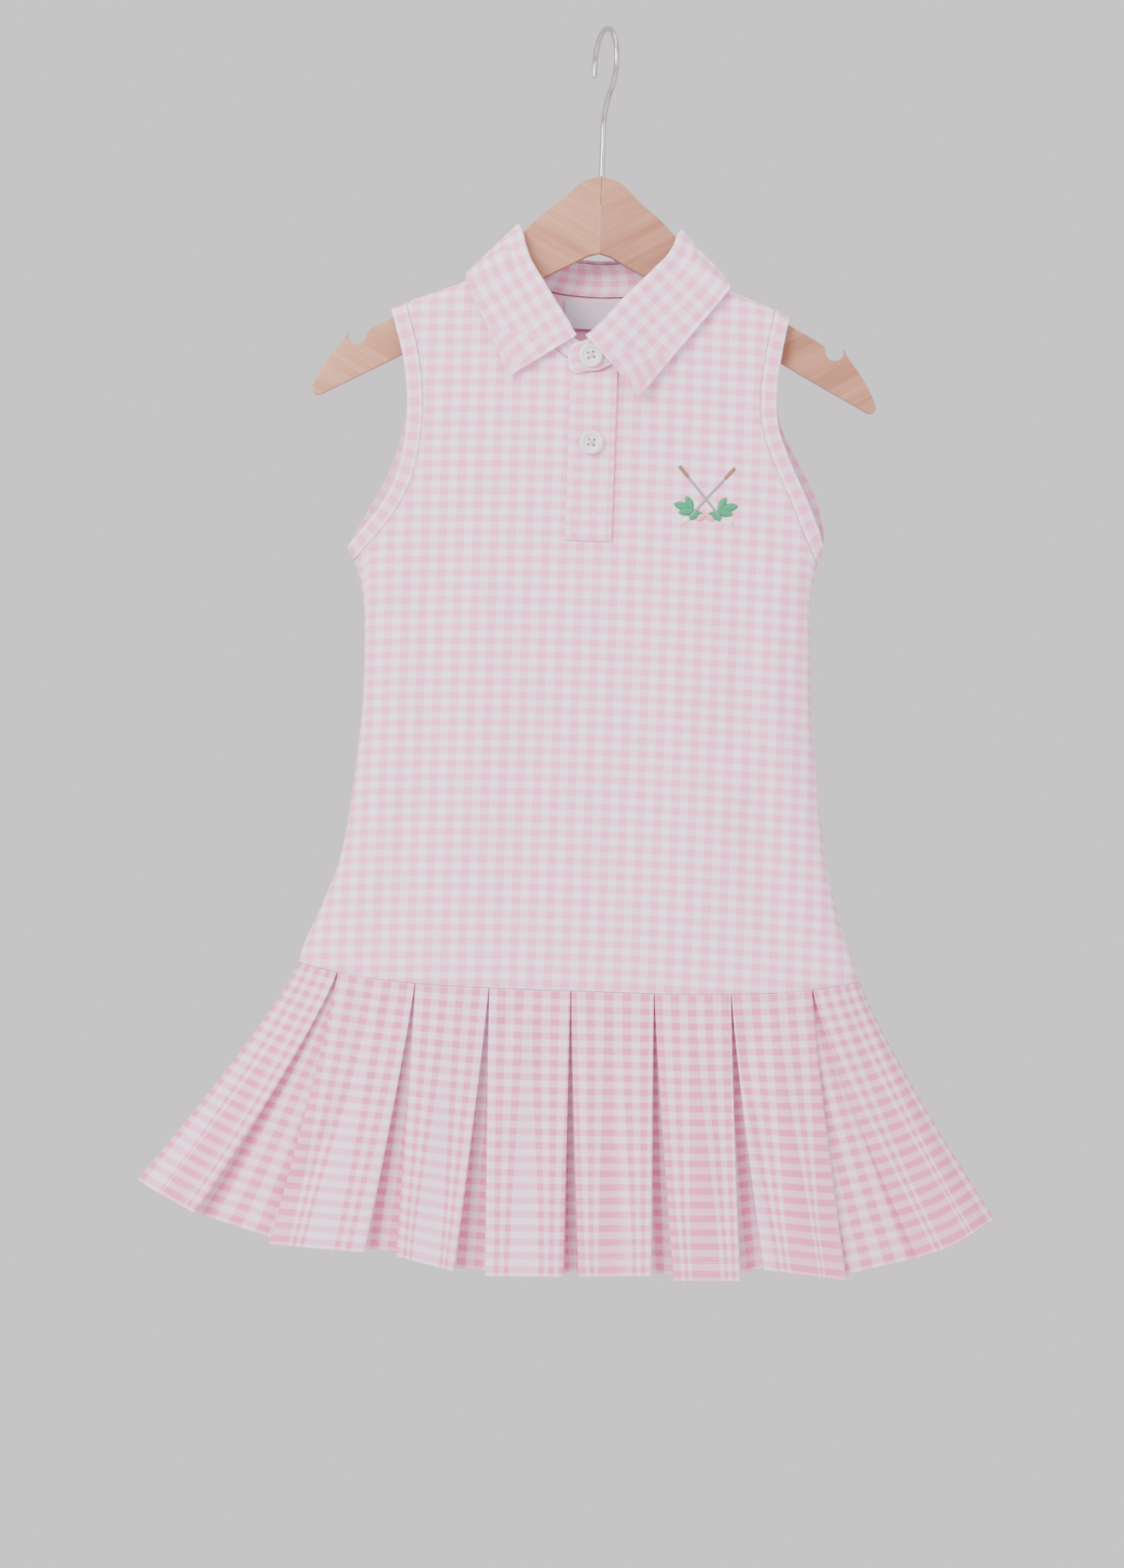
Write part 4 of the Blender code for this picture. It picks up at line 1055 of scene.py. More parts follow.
@dataclass(frozen=True)
class Bodice:
    """A bodice panel, from the waist seam to the shoulder and neck seams."""

    form: DressForm
    face: Face
    wall: float = 0.0009
    neck_half_width: float = 0.064
    neck_front_z: float = -0.2140
    neck_side_z: float = -0.1435
    neck_back_z: float = -0.1650
    neck_curve: float = 0.65
    underarm: float = 0.58
    shoulder_share: float = 0.2
    side_reach: float = 0.25
    flat_size: tuple[float, float] = (0.36, 0.46)
    flat_area: float = 0.124

    def neck_z(self, angle: Array, face: Face) -> Array:
        """Height of the neck seam at an angle from the middle, in radians."""
        turn = 1 - np.abs(np.cos(angle))
        if face is Face.FRONT:
            return mix(self.neck_front_z, self.neck_side_z, turn**self.neck_curve)
        return mix(self.neck_back_z, self.neck_side_z, turn)

    def side_edge(self, side: Side, share: Array) -> tuple[Array, Array]:
        """Places (x, z) up a side: its side seam, then its armhole seam."""
        top = float(self.form.armhole(side, self.face, np.array(0.0))[1])
        z = mix(self.form.waist_z + self.form.waist_rise, top, share / self.underarm)
        x = side.value * self.form.half_width(np.full_like(z, side.value), z)
        hole_x, hole_z = self.form.armhole(side, self.face, limit((share - self.underarm) / (1 - self.underarm)))
        above = share > self.underarm
        return np.where(above, hole_x, x), np.where(above, hole_z, z)

    def top_edge(self, share: Array) -> tuple[Array, Array]:
        """Places (x, z) along the top: shoulder, neck seam, shoulder."""
        side = np.where(share < 0.5, -1.0, 1.0)
        near = np.minimum(share, 1 - share)
        left = float(self.form.armhole(Side.LEFT, self.face, np.array(1.0))[0])
        right = float(self.form.armhole(Side.RIGHT, self.face, np.array(1.0))[0])
        tip = np.where(side < 0, left, right)
        shoulder_x = mix(tip, side * self.neck_half_width, limit(near / self.shoulder_share))
        angle = (share - 0.5) / (0.5 - self.shoulder_share) * math.pi / 2
        on_shoulder = near < self.shoulder_share
        x = np.where(on_shoulder, shoulder_x, self.neck_half_width * np.sin(angle))
        z = np.where(on_shoulder, self.form.shoulder_z(shoulder_x), self.neck_z(angle, self.face))
        return x, z

    def place(self, u: Array, v: Array) -> Array:
        """Points at shares across and up the panel."""
        turned = np.cos(math.pi * u)
        narrow = (1 - np.copysign(np.abs(turned) ** (2 / self.form.fullness), turned)) / 2
        across = mix(narrow, u, ease((v - self.underarm + 0.04) / 0.12))
        zero, one = np.zeros_like(v), np.ones_like(v)
        low_left, low_right = self.side_edge(Side.LEFT, zero), self.side_edge(Side.RIGHT, zero)
        foot_x = mix(low_left[0], low_right[0], across)
        foot_z = self.form.waist_at(foot_x)
        top_x, top_z = self.top_edge(across)
        x, z = mix(foot_x, top_x, v), mix(foot_z, top_z, v)
        for side, low, near, end in (
            (Side.LEFT, low_left, across, zero),
            (Side.RIGHT, low_right, 1 - across, one),
        ):
            edge = self.side_edge(side, v)
            top = self.top_edge(end)
            weight = np.maximum(0.0, 1 - near / self.side_reach) ** 1.5
            x = x + (edge[0] - mix(low[0], top[0], v)) * weight
            z = z + (edge[1] - mix(low[1], top[1], v)) * weight
        y = self.form.y(x, z, self.face)
        on_side = (v <= self.underarm) & ((u == 0.0) | (u == 1.0))
        on_shoulder = (v == 1.0) & (np.abs(u - 0.5) >= 0.5 - self.shoulder_share)
        return stack(x, np.where(on_side | on_shoulder, self.face.value * HALF_SEAM, y), z)

    def columns(self) -> Array:
        """Shares across, crowded where the cloth turns at the sides and the neck's ends."""
        shoulder = self.shoulder_share * np.linspace(0, 1, 30) ** 1.5
        neck = self.shoulder_share + (0.5 - self.shoulder_share) * np.linspace(0, 1, 64) ** 1.35
        left = np.concatenate([shoulder, neck[1:]])
        return np.concatenate([left, 1 - left[-2::-1]])

    def rows(self) -> Array:
        """Shares up, crowded towards the shoulder."""
        side = np.linspace(0, self.underarm, 130)
        waist = np.array([0.0012, 0.0025, 0.004])
        hole = mix(self.underarm, 1.0, crowded(110, 2.4))
        return np.concatenate([side[:1], waist, side[1:], hole[1:]])

    def build(self, wardrobe: Wardrobe) -> bpy.types.Object:
        """Makes the panel."""
        name = "bodice_front" if self.face is Face.FRONT else "bodice_back"
        cloth = ClothMap(self.form, self.face)
        grid = ClothGrid(
            self.columns(), self.rows(), self.place,
            lambda u, v, points: cloth.lengths(points[:, 0], points[:, 2]),
            self.wall, flipped=self.face is Face.BACK,
        )
        piece = grid.build(name + "_cloth", wardrobe.knit, wardrobe.inside)
        keep_piece(piece, [name])
        return piece

    def armhole_stitches(self, side: Side) -> tuple[Array, Array]:
        """The row of stitches just inside an armhole's seam."""
        share = np.linspace(0.02, 0.985, 160)
        x, z = self.form.armhole_edge(side, self.face, share, np.full_like(share, -0.0013))
        path = self.form.point(x, z, self.face, 0.0001)
        step = 0.0015
        across = self.form.point(x + step, z, self.face) - self.form.point(x - step, z, self.face)
        up = self.form.point(x, z + step, self.face) - self.form.point(x, z - step, self.face)
        facing = unit(np.cross(across, up))
        return path, facing * -np.sign(facing[:, 1:2]) * -self.face.value


@dataclass(frozen=True)
class Skirt:
    """Half of the box-pleated skirt, between the side seams."""

    form: DressForm
    face: Face
    wall: float = 0.0008
    hem_fullness: float = 2.2
    hem_depth_front: float = 0.0480
    hem_depth_back: float = 0.0450
    under_top: float = 0.0150
    under_hem: float = 0.0070
    returned: float = 0.0024
    backing: float = 0.0030
    turn_hem: float = 0.0012
    backing_lift: float = 0.0015
    side_share: float = 0.35
    flare: float = 1.15
    hem_left: Mark = Mark(-0.2670, -0.7240)
    hem_right: Mark = Mark(0.2670, -0.7300)
    side_turn: float = 0.0030
    side_step: float = 0.0002
    column_step: float = 0.0036
    side_seam_in: float = 0.0035
    side_hem_in: float = 0.0090
    hem_sag: float = 0.0030
    length: float = 0.1760
    hem_turn: float = 0.0125
    flat_size: tuple[float, float] = (0.86, 0.19)
    flat_area: float = 0.150

    def lines(self) -> Array:
        """Every fold line, left to right.

        Returns:
            Rows of seam x, hem x, hem z, depth at seam, depth at hem, a side line's own depth, softness
            at the hem and cloth width before the line.
        """
        pleats = FRONT_PLEATS if self.face is Face.FRONT else BACK_PLEATS
        seam = self.form.waist_z
        left_x = -float(self.form.half_width(np.array(-1.0), np.array(seam)))
        right_x = float(self.form.half_width(np.array(1.0), np.array(seam)))
        side_width = (0.043, 0.053) if self.face is Face.FRONT else (0.046, 0.048)
        rows = [
            [left_x, self.hem_left.x, self.hem_left.z, 0, 0, HALF_SEAM, 0, 0],
            [left_x + self.side_step, self.hem_left.x + self.side_step, self.hem_left.z,
             0, 0, self.side_turn, 0.001, self.side_turn],
            [left_x + self.side_seam_in, self.hem_left.x + self.side_hem_in, self.hem_left.z - 0.004,
             0, 0, 0, 0.006, side_width[0] * 0.2],
        ]
        for number, pleat in enumerate(pleats):
            low, high = pleat.seam_x - HALF_SEAM, pleat.seam_x + HALF_SEAM
            before = rows[-1]
            width = 0.0485 if number else side_width[0] * 0.8
            rows.append([
                (before[0] + low) / 2, (before[1] + pleat.hem_left_x) / 2,
                (before[2] + pleat.hem_left_z) / 2, 0, 0, 0, 0.008, width / 2,
            ])
            under_left = min(self.under_top, self.side_share * (low - left_x))
            under_right = min(self.under_top, self.side_share * (right_x - high))
            back_left, back_right = low - under_left, high + under_right
            hem_left, hem_right = pleat.hem_left_x, pleat.hem_right_x
            z_left, z_right = pleat.hem_left_z, pleat.hem_right_z
            deep, turned = pleat.hem_deep, pleat.hem_deep - self.turn_hem
            lift = self.backing_lift
            mid_under = (hem_right - hem_left) / 2 + self.under_hem
            rows += [
                [low, hem_left, z_left, 0, 0, 0, pleat.soft_left, width / 2],
                [low, hem_left + SEAM, z_left, self.returned, self.backing, 0, 0.001, 0.001],
                [back_left, hem_left - self.under_hem, z_left + lift, self.returned, turned, 0, 0.001, 0.012],
                [back_left, hem_left - self.under_hem, z_left + lift, self.backing, deep, 0, 0.001, 0.001],
                [back_right, hem_right + self.under_hem, z_right + lift, self.backing, deep, 0, 0.001,
                 under_left + mid_under],
                [back_right, hem_right + self.under_hem, z_right + lift, self.returned, turned, 0, 0.001, 0.001],
                [high, hem_right - SEAM, z_right, self.returned, self.backing, 0, 0.001, 0.012],
                [high, hem_right, z_right, 0, 0, 0, pleat.soft_right, 0.001],
            ]
        before = rows[-1]
        rows += [
            [(before[0] + right_x) / 2, (before[1] + self.hem_right.x) / 2,
             (before[2] + self.hem_right.z) / 2 - self.hem_sag, 0, 0, 0, 0.008, side_width[1] * 0.4],
            [right_x - self.side_seam_in, self.hem_right.x - self.side_hem_in, self.hem_right.z - 0.005,
             0, 0, 0, 0.006, side_width[1] * 0.4],
            [right_x - self.side_step, self.hem_right.x - self.side_step, self.hem_right.z,
             0, 0, self.side_turn, 0.001, side_width[1] * 0.2],
            [right_x, self.hem_right.x, self.hem_right.z, 0, 0, HALF_SEAM, 0, self.side_turn],
        ]
        return np.array(rows, dtype=float)

    def hem_y(self, x: Array) -> Array:
        """The hem's depth where the panels' outer faces lie."""
        width = np.where(x > 0, self.hem_right.x, -self.hem_left.x)
        depth = self.hem_depth_front if self.face is Face.FRONT else self.hem_depth_back
        return np.maximum(HALF_SEAM, depth * full(x / width, self.hem_fullness))

    def line_points(self, lines: Array, v: Array) -> Array:
        """Points at shares down every fold line.

        Args:
            lines: The fold lines.
            v: Shares down from the waist seam.

        Returns:
            Points by line and share.
        """
        seam_x, hem_x, hem_z = lines[:, 0:1], lines[:, 1:2], lines[:, 2:3]
        top_z = self.form.waist_at(seam_x) - SEAM
        x = mix(seam_x, hem_x, v[None, :] ** self.flare)
        z = mix(top_z, hem_z, v[None, :])
        waist = np.full_like(seam_x, self.form.waist_z)
        top_y = np.abs(self.form.y(seam_x, waist, self.face, creased=False))
        deep = mix(top_y, self.hem_y(hem_x), v[None, :]) - mix(lines[:, 3:4], lines[:, 4:5], v[None, :])
        y = self.face.value * np.where(lines[:, 5:6] > 0, lines[:, 5:6], np.maximum(deep, HALF_SEAM))
        return stack(x, y, z)

    def sections(self, v: Array) -> tuple[Array, Array]:
        """The skirt's rounded section at every share down.

        Args:
            v: Shares down from the waist seam.

        Returns:
            Points by column and share, and the cloth length across at each column.
        """
        lines = self.lines()
        points = self.line_points(lines, v)
        widths = np.cumsum(lines[:, 7])
        count = len(lines)
        before, after = np.roll(points, 1, axis=0), np.roll(points, -1, axis=0)
        soft = mix(0.0007, np.maximum(lines[:, 6:7], 0.0007), ease(v[None, :]) ** 1.2)
        to_before = np.maximum(np.linalg.norm(before - points, axis=-1), 1e-9)
        to_after = np.maximum(np.linalg.norm(after - points, axis=-1), 1e-9)
        share_before = np.minimum(soft / to_before, 0.45)[..., None]
        share_after = np.minimum(soft / to_after, 0.45)[..., None]
        starts, ends = mix(points, before, share_before), mix(points, after, share_after)
        starts[0], ends[0] = points[0], points[0]
        starts[-1], ends[-1] = points[-1], points[-1]
        made, lengths = [points[0]], [widths[0]]
        for i in range(count - 1):
            if i > 0:
                for t in (0.0, 0.33, 0.67, 1.0):
                    keep = 1 - t
                    made.append(starts[i] * keep**2 + points[i] * (2 * keep * t) + ends[i] * t**2)
                    lengths.append(widths[i] + (t - 0.5) * 0.0012)
            span = float(np.linalg.norm(points[i + 1] - points[i], axis=-1).mean())
            steps = max(2, int(span / self.column_step))
            for step in range(1, steps):
                t = step / steps
                made.append(mix(ends[i], starts[i + 1], t))
                lengths.append(mix(widths[i] + 0.0006, widths[i + 1] - 0.0006, t))
        made.append(points[-1])
        lengths.append(widths[-1])
        return np.stack(made), np.array(lengths)

    def build(self, wardrobe: Wardrobe) -> bpy.types.Object:
        """Makes this half of the skirt, with its hem."""
        name = "skirt_front" if self.face is Face.FRONT else "skirt_back"
        hem_share = self.hem_turn / self.length
        rows = np.concatenate([
            [0.0, 0.006, 0.014, 0.03], np.linspace(0.05, 1 - hem_share * 1.4, 56),
            1 - hem_share * np.array([1.2, 1.08, 1.0, 0.92, 0.8, 0.5, 0.2, 0.05, 0.0]),
        ])
        sections, lengths = self.sections(rows)
        count = sections.shape[0]
        creases = SKIRT_CREASES if self.face is Face.FRONT else SKIRT_BACK_CREASES

        def place(u: Array, v: Array) -> Array:
            """Points by column number and row share, seen from the hem up."""
            down = np.searchsorted(rows, 1 - v - 1e-9)
            points = sections[np.rint(u * (count - 1)).astype(int), down]
            x, y, z = points[:, 0], points[:, 1], points[:, 2]
            share = rows[down]
            edge = ease(np.abs(y) / 0.012)
            push = creases_at(creases, x, z) * edge * ease(share / 0.05)
            above_hem = (1 - share) * self.length - self.hem_turn
            push = push + 0.00035 * ease(0.5 - above_hem / 0.002) - 0.0003 * np.exp(-((above_hem / 0.0009) ** 2))
            push = push - 0.0006 * np.exp(-((share * self.length / 0.0016) ** 2))
            return stack(x, self.face.value * np.maximum(np.abs(y) + push * edge, HALF_SEAM), z)

        def cloth_lengths(u: Array, v: Array, points: Array) -> Array:
            """Cloth lengths across and up."""
            across = lengths[np.rint(u * (count - 1)).astype(int)]
            return np.stack([across, v * self.length], axis=-1)

        columns = np.linspace(0, 1, count)
        grid = ClothGrid(
            columns, 1 - rows[::-1], place, cloth_lengths, self.wall, flipped=self.face is Face.BACK
        )
        piece = grid.build(name + "_cloth", wardrobe.skirt_knit, wardrobe.inside)
        keep_piece(piece, [name])
        self.hem_stitches(sections, rows, place, wardrobe)
        return piece

    def hem_stitches(self, sections: Array, rows: Array, place: Place, wardrobe: Wardrobe) -> None:
        """Sews the twin rows above the hem.

        Args:
            sections: The skirt's points by column and row.
            rows: The shares down of the rows; not used.
            place: Gives points by column share and height share.
            wardrobe: The shared finishes.
        """
        count = sections.shape[0]
        u = np.linspace(0.004, 0.996, count * 2)
        u = np.rint(u * (count - 1)) / (count - 1)
        runs = []
        hem_share = self.hem_turn / self.length
        for offset in (1.08, 0.92):
            v = np.full_like(u, hem_share * offset)
            path = place(u, v)
            outside = np.abs(path[:, 1]) > 0.6 * self.hem_y(path[:, 0])
            facing = np.tile([0.0, float(self.face.value), 0.0], (len(path), 1))
            for part in np.split(np.arange(len(path)), np.where(~outside)[0]):
                part = part[outside[part]]
                if len(part) > 8:
                    runs.append((path[part], facing[part]))
        name = "hem_stitches_front" if self.face is Face.FRONT else "hem_stitches_back"
        Stitching().build(name, runs, wardrobe.thread)


@dataclass(frozen=True)
class ArmholeBand:
    """The folded strip round an armhole."""

    form: DressForm
    side: Side
    thick: float = 0.0016
    flat_size: tuple[float, float] = (0.38, 0.0106)

    def section(self) -> Array:
        """The strip's closed section, as shares across and depths out."""
        top = [(t, 0.0) for t in np.linspace(0.0, 0.93, 8)]
        turn = []
        for degrees in (25, 55, 90, 125, 155):
            angle = math.radians(degrees)
            turn.append((0.93 + 0.07 * math.sin(angle), -self.thick / 2 * (1 - math.cos(angle))))
        low = [(t, -self.thick) for t in np.linspace(0.93, 0.0, 6)]
        ring = top + turn + low
        return np.array(ring + [ring[0]])

    def place(self, u: Array, v: Array) -> Array:
        """Points round the armhole, and round the strip's section."""
        section = self.section()
        at = v * (len(section) - 1)
        across = np.interp(at, np.arange(len(section)), section[:, 0])
        out = np.interp(at, np.arange(len(section)), section[:, 1])
        puff = 0.0003 * np.sin(math.pi * limit(across)) * (out > -1e-6)
        up = 1 - np.abs(2 * u - 1)
        points = []
        for face in (Face.FRONT, Face.BACK):
            x, z = self.form.armhole_edge(self.side, face, up, mix(SEAM, self.form.band_width, across))
            y = self.form.y(x, z, face, 0.0, creased=False)
            y = face.value * np.maximum(np.abs(y) + (out + puff) * ease(np.abs(y) / 0.003 + 0.2), 0.0)
            points.append(stack(x, y, z))
        return np.where((u < 0.5)[:, None], points[0], points[1])

    def build(self, wardrobe: Wardrobe) -> bpy.types.Object:
        """Makes the strip."""
        name = "armhole_band_left" if self.side is Side.LEFT else "armhole_band_right"
        half = np.concatenate([np.linspace(0, 0.5, 60)[:-1] ** 1.0, mix(0.5, 1.0, crowded(60, 2.6))]) / 2
        columns = np.concatenate([half, 1 - half[-2::-1]])
        rows = np.linspace(0, 1, len(self.section()))
        lines = self.place(columns, np.full_like(columns, 0.15))
        reach = np.concatenate([[0.0], np.cumsum(np.linalg.norm(np.diff(lines, axis=0), axis=1))])

        def lengths(u: Array, v: Array, points: Array) -> Array:
            """Cloth lengths along and across the strip."""
            return np.stack([np.interp(u, columns, reach), v * 2 * self.form.band_width], axis=-1)

        grid = ClothGrid(
            columns, rows, self.place, lengths, self.thick, flipped=self.side is Side.RIGHT,
            ring=True, tube=True,
        )
        piece = grid.build(name + "_cloth", wardrobe.knit)
        keep_piece(piece, [name])
        return piece


@dataclass(frozen=True)
class CollarStand:
    """The standing band round the neck, with its buttoned end."""

    form: DressForm
    bodice: Bodice
    wall: float = 0.0012
    bodice_wall: float = 0.0012
    fold_half_width: float = 0.0495
    fold_front_depth: float = 0.0215
    fold_back_depth: float = 0.0165
    overlap_out: float = 0.0023
    overlap_from: float = 9.0
    overlap_turn: float = 40.0
    overlap_end_x: float = -0.0172
    underlap_end_x: float = 0.0120
    droop: float = 0.0125
    end_round: float = 0.0060
    tuck: float = 0.010
    foot_middle: float = 0.04
    foot_side: float = 0.10
    flat_size: tuple[float, float] = (0.30, 0.029)

    def fold(self, degrees: Array) -> Array:
        """Points on the collar's fold, on the stand's inner face."""
        angle = np.radians(degrees)
        forward = np.cos(angle)
        depth = np.where(forward > 0, self.fold_front_depth, self.fold_back_depth)
        y = -np.copysign(depth * np.sqrt(np.abs(forward)), forward)
        return stack(self.fold_half_width * np.sin(angle), y, table_curve(FOLDS, "angle", "z", degrees))

    def overlap(self, degrees: Array) -> Array:
        """How far out the buttoned end lies."""
        lapped = self.overlap_out * (1 - ease((degrees - self.overlap_from) / self.overlap_turn))
        return np.where(degrees < 90, lapped, 0.0)

    def point(self, degrees: Array, v: Array) -> Array:
        """Points at an angle round the neck and a share of the stand's height."""
        angle = np.radians(degrees)
        forward = np.cos(angle)
        x = self.bodice.neck_half_width * np.sin(angle)
        front_z, back_z = self.bodice.neck_z(angle, Face.FRONT), self.bodice.neck_z(angle, Face.BACK)
        front_y = self.form.y(x, front_z, Face.FRONT, creased=False)
        back_y = self.form.y(x, back_z, Face.BACK, creased=False)
        tuck = np.minimum(self.bodice_wall, np.abs(forward) * self.tuck)
        y = np.where(forward > 0, front_y + tuck, back_y - tuck)
        seam = stack(x, y, np.where(forward > 0, front_z, back_z))
        place = mix(seam, self.fold(degrees), np.asarray(v)[..., None])
        place[..., 1] -= self.overlap(degrees)
        hang = self.droop * np.maximum(0.0, place[..., 0] / self.overlap_end_x) ** 1.5 * (1 - v)
        place[..., 2] -= np.where(degrees < 90, hang, 0.0)
        return place

    def angle_at(self, x: Array, v: Array) -> Array:
        """Degrees round the neck where the stand has an x near the front middle."""
        return np.degrees(np.arcsin(x / mix(self.bodice.neck_half_width, self.fold_half_width, v)))

    def place(self, u: Array, v: Array) -> Array:
        """Points from the buttoned end right round to the end beneath."""
        corner = self.end_round * (1 - np.sqrt(np.maximum(0.0, 1 - (2 * v - 1) ** 2)))
        first = self.angle_at(self.overlap_end_x + corner, v)
        last = 360 + self.angle_at(np.full_like(v, self.underlap_end_x), v)
        degrees = mix(first, last, u)
        foot = mix(self.foot_middle, self.foot_side, np.sin(np.radians(degrees)) ** 2)
        return self.point(degrees, mix(foot, 1.0, v))

    def spot(self, x: float, z: float) -> tuple[Vector, Vector]:
        """A place on the buttoned end's outer face, and the way it faces."""
        v = np.array(0.5)
        for _ in range(8):
            degrees = self.angle_at(np.array(x), v)
            foot, fold = self.point(degrees, np.array(0.0)), self.point(degrees, np.array(1.0))
            v = (z - foot[2]) / (fold[2] - foot[2])
        across = self.point(degrees + 2, v) - self.point(degrees - 2, v)
        normal = Vector(unit(np.cross(across, fold - foot)))
        return Vector(self.point(degrees, v)) + normal * self.wall, normal

    def build(self, wardrobe: Wardrobe) -> bpy.types.Object:
        """Makes the stand and the stitches round its buttoned end."""
        columns = np.concatenate([np.linspace(0, 0.03, 8), np.linspace(0.035, 0.965, 190), np.linspace(0.97, 1, 6)])
        rows = (1 - np.cos(np.linspace(0, math.pi, 19))) / 2
        middle = self.place(columns, np.full_like(columns, 0.5))
        reach = np.concatenate([[0.0], np.cumsum(np.linalg.norm(np.diff(middle, axis=0), axis=1))])

        def lengths(u: Array, v: Array, points: Array) -> Array:
            """Cloth lengths round and up the stand."""
            return np.stack([np.interp(u, columns, reach), v * 0.024 + 0.003], axis=-1)

        grid = ClothGrid(columns, rows, self.place, lengths, self.wall, outward=True)
        piece = grid.build("collar_stand_cloth", wardrobe.knit, wardrobe.knit)
        soften_edges(piece, 0.0004)
        keep_piece(piece, ["collar_stand"])
        inset = 0.12
        start = np.stack([np.full(12, 0.006), np.linspace(0.5, inset, 12)], axis=1)
        foot = np.stack([np.linspace(0.006, 0.10, 40), np.full(40, inset)], axis=1)
        top = np.stack([np.full(12, 0.006), np.linspace(0.5, 1 - inset, 12)], axis=1)
        head = np.stack([np.linspace(0.006, 0.05, 20), np.full(20, 1 - inset)], axis=1)
        runs = []
        for marks in (np.vstack([start, foot]), np.vstack([top, head])):
            facing = grid.normals(marks[:, 0], marks[:, 1])
            runs.append((self.place(marks[:, 0], marks[:, 1]) + facing * (self.wall + 0.0001), facing))
        for height in (0.06, 0.94):
            back = np.linspace(0.30, 0.70, 120)
            high = np.full_like(back, height)
            facing = -grid.normals(back, high)
            runs.append((self.place(back, high) + facing * 0.0001, facing))
        Stitching().build("collar_stand_stitches", runs, wardrobe.thread)
        return piece


def soften_edges(piece: bpy.types.Object, width: float) -> None:
    """Rounds a sheet's cut or folded edges."""
    edge = piece.modifiers.new("edge", "BEVEL")
    edge.width = width
    edge.segments = 3
    edge.limit_method = "ANGLE"
    edge.angle_limit = math.radians(55)
    edge.harden_normals = False


@dataclass(frozen=True)
class CollarLeaf:
    """The turned-down collar with its two points."""

    form: DressForm
    stand: CollarStand
    wall: float = 0.0013
    out: float = 0.0046
    roll_out: float = 0.0046
    roll_up: float = 0.0024
    over_button: float = 0.0034
    over_button_z: float = -0.1970
    over_button_width: float = 0.0200
    edge_z: float = -0.1900
    edge_round: float = 0.4
    lies_from: float = 0.3
    back_round: float = 0.7
    shoulder: Mark = Mark(0.0818, -0.1530)
    right: LeafEnd = LeafEnd(1, -6, 0.0752, 0.777)
    left: LeafEnd = LeafEnd(-1, 344, 0.0706, 0.486)
    straight_z: float = -0.1590
    roll_share: float = 0.05
    back_drop: float = 0.0270
    flat_size: tuple[float, float] = (0.34, 0.085)
    flat_area: float = 0.0175

    def edge(self, degrees: Array) -> tuple[Array, Array]:
        """The outer edge at an angle round the neck, as x and z."""
        angle = np.radians(degrees)
        square = np.cos(angle) ** 2
        back_x = self.shoulder.x * np.copysign(np.abs(np.sin(angle)) ** self.back_round, np.sin(angle))
        back_z = self.shoulder.z - self.back_drop * square
        is_right = degrees < 180
        drop = np.where(is_right, self.right.drop, self.left.drop)
        lean = np.where(is_right, self.right.lean, self.left.lean)
        z = self.shoulder.z - drop * square
        x = np.where(is_right, 1.0, -1.0) * (self.shoulder.x - lean * np.maximum(0.0, self.straight_z - z))
        behind = np.cos(angle) < 0
        return np.where(behind, back_x, x), np.where(behind, back_z, z)

    def laid(self, x: Array, z: Array, forward: Array, out: Array | float) -> Array:
        """The form's depth under the leaf, in front or behind."""
        front = np.abs(self.form.y(x, z, Face.FRONT, out, creased=False))
        return np.where(forward > 0, front, np.abs(self.form.y(x, z, Face.BACK, out, creased=False)))

    def place(self, u: Array, v: Array) -> Array:
        """Points from the right point round the back to the left one."""
        degrees = mix(self.right.fold_angle, self.left.fold_angle, u)
        forward = np.cos(np.radians(degrees))
        one = np.ones_like(degrees)
        fold = self.stand.point(degrees, one)
        around = unit(self.stand.point(degrees + 1, one) - self.stand.point(degrees - 1, one))
        rise = fold - self.stand.point(degrees, one * 0.5)
        up = unit(rise - around * np.sum(rise * around, axis=-1, keepdims=True))
        out = np.cross(up, around)
        facing = np.sum(out[:, :2] * fold[:, :2], axis=-1, keepdims=True)
        out = np.where(facing < 0, -out, out)
        crown = fold + out * (self.stand.wall / 2) + up * self.roll_up
        roll = fold + out * self.roll_out + up * (self.roll_up / 2)
        edge_x, edge_z = self.edge(degrees)
        down = limit((v - self.roll_share) / (1 - self.roll_share))
        x, z = mix(roll[:, 0], edge_x, down), mix(roll[:, 2], edge_z, down)
        near_x, near_z = x / self.over_button_width, (z - self.over_button_z) / self.over_button_width
        near = np.exp(-(near_x**2) - near_z**2)
        lift = self.out + np.where(degrees < 180, self.over_button * near, 0.0)
        edge_depth = self.laid(edge_x, np.full_like(edge_x, self.edge_z), forward, self.out)
        edge_depth = edge_depth * np.abs(forward) ** self.edge_round
        straight = mix(np.abs(roll[:, 1]), edge_depth + self.stand.overlap(degrees), ease(down))
        straight = straight + lift - self.out
        laid = self.laid(x, z, forward, lift) * ease(down / self.lies_from)
        fine = self.relief(u, v)
        deep = np.maximum(straight, laid) + fine * ease(np.abs(forward) / 0.3)
        flat = stack(x, np.where(forward > 0, -1.0, 1.0) * deep, z)
        turn = limit(v / self.roll_share)[:, None]
        bent = mix(crown, roll, turn) + (up * self.roll_up * 0.45 + out * 0.0008)[:, :] * np.sin(math.pi * turn)
        return np.where((v < self.roll_share)[:, None], bent, flat)

    def relief(self, u: Array, v: Array) -> Array:
        """The fullness at the sewn edges, the stitched line and a slight wave."""
        edge = np.minimum((1 - v) * 0.055, np.minimum(u, 1 - u) * 0.40)
        full_edge = 0.00035 * np.exp(-((edge / 0.0016) ** 2))
        sewn = -0.00030 * np.exp(-(((edge - 0.0038) / 0.0009) ** 2)) * (v > 0.15)
        wave = 0.0007 * np.sin(21 * u) * np.sin(math.pi * limit(v))
        return full_edge + sewn + wave

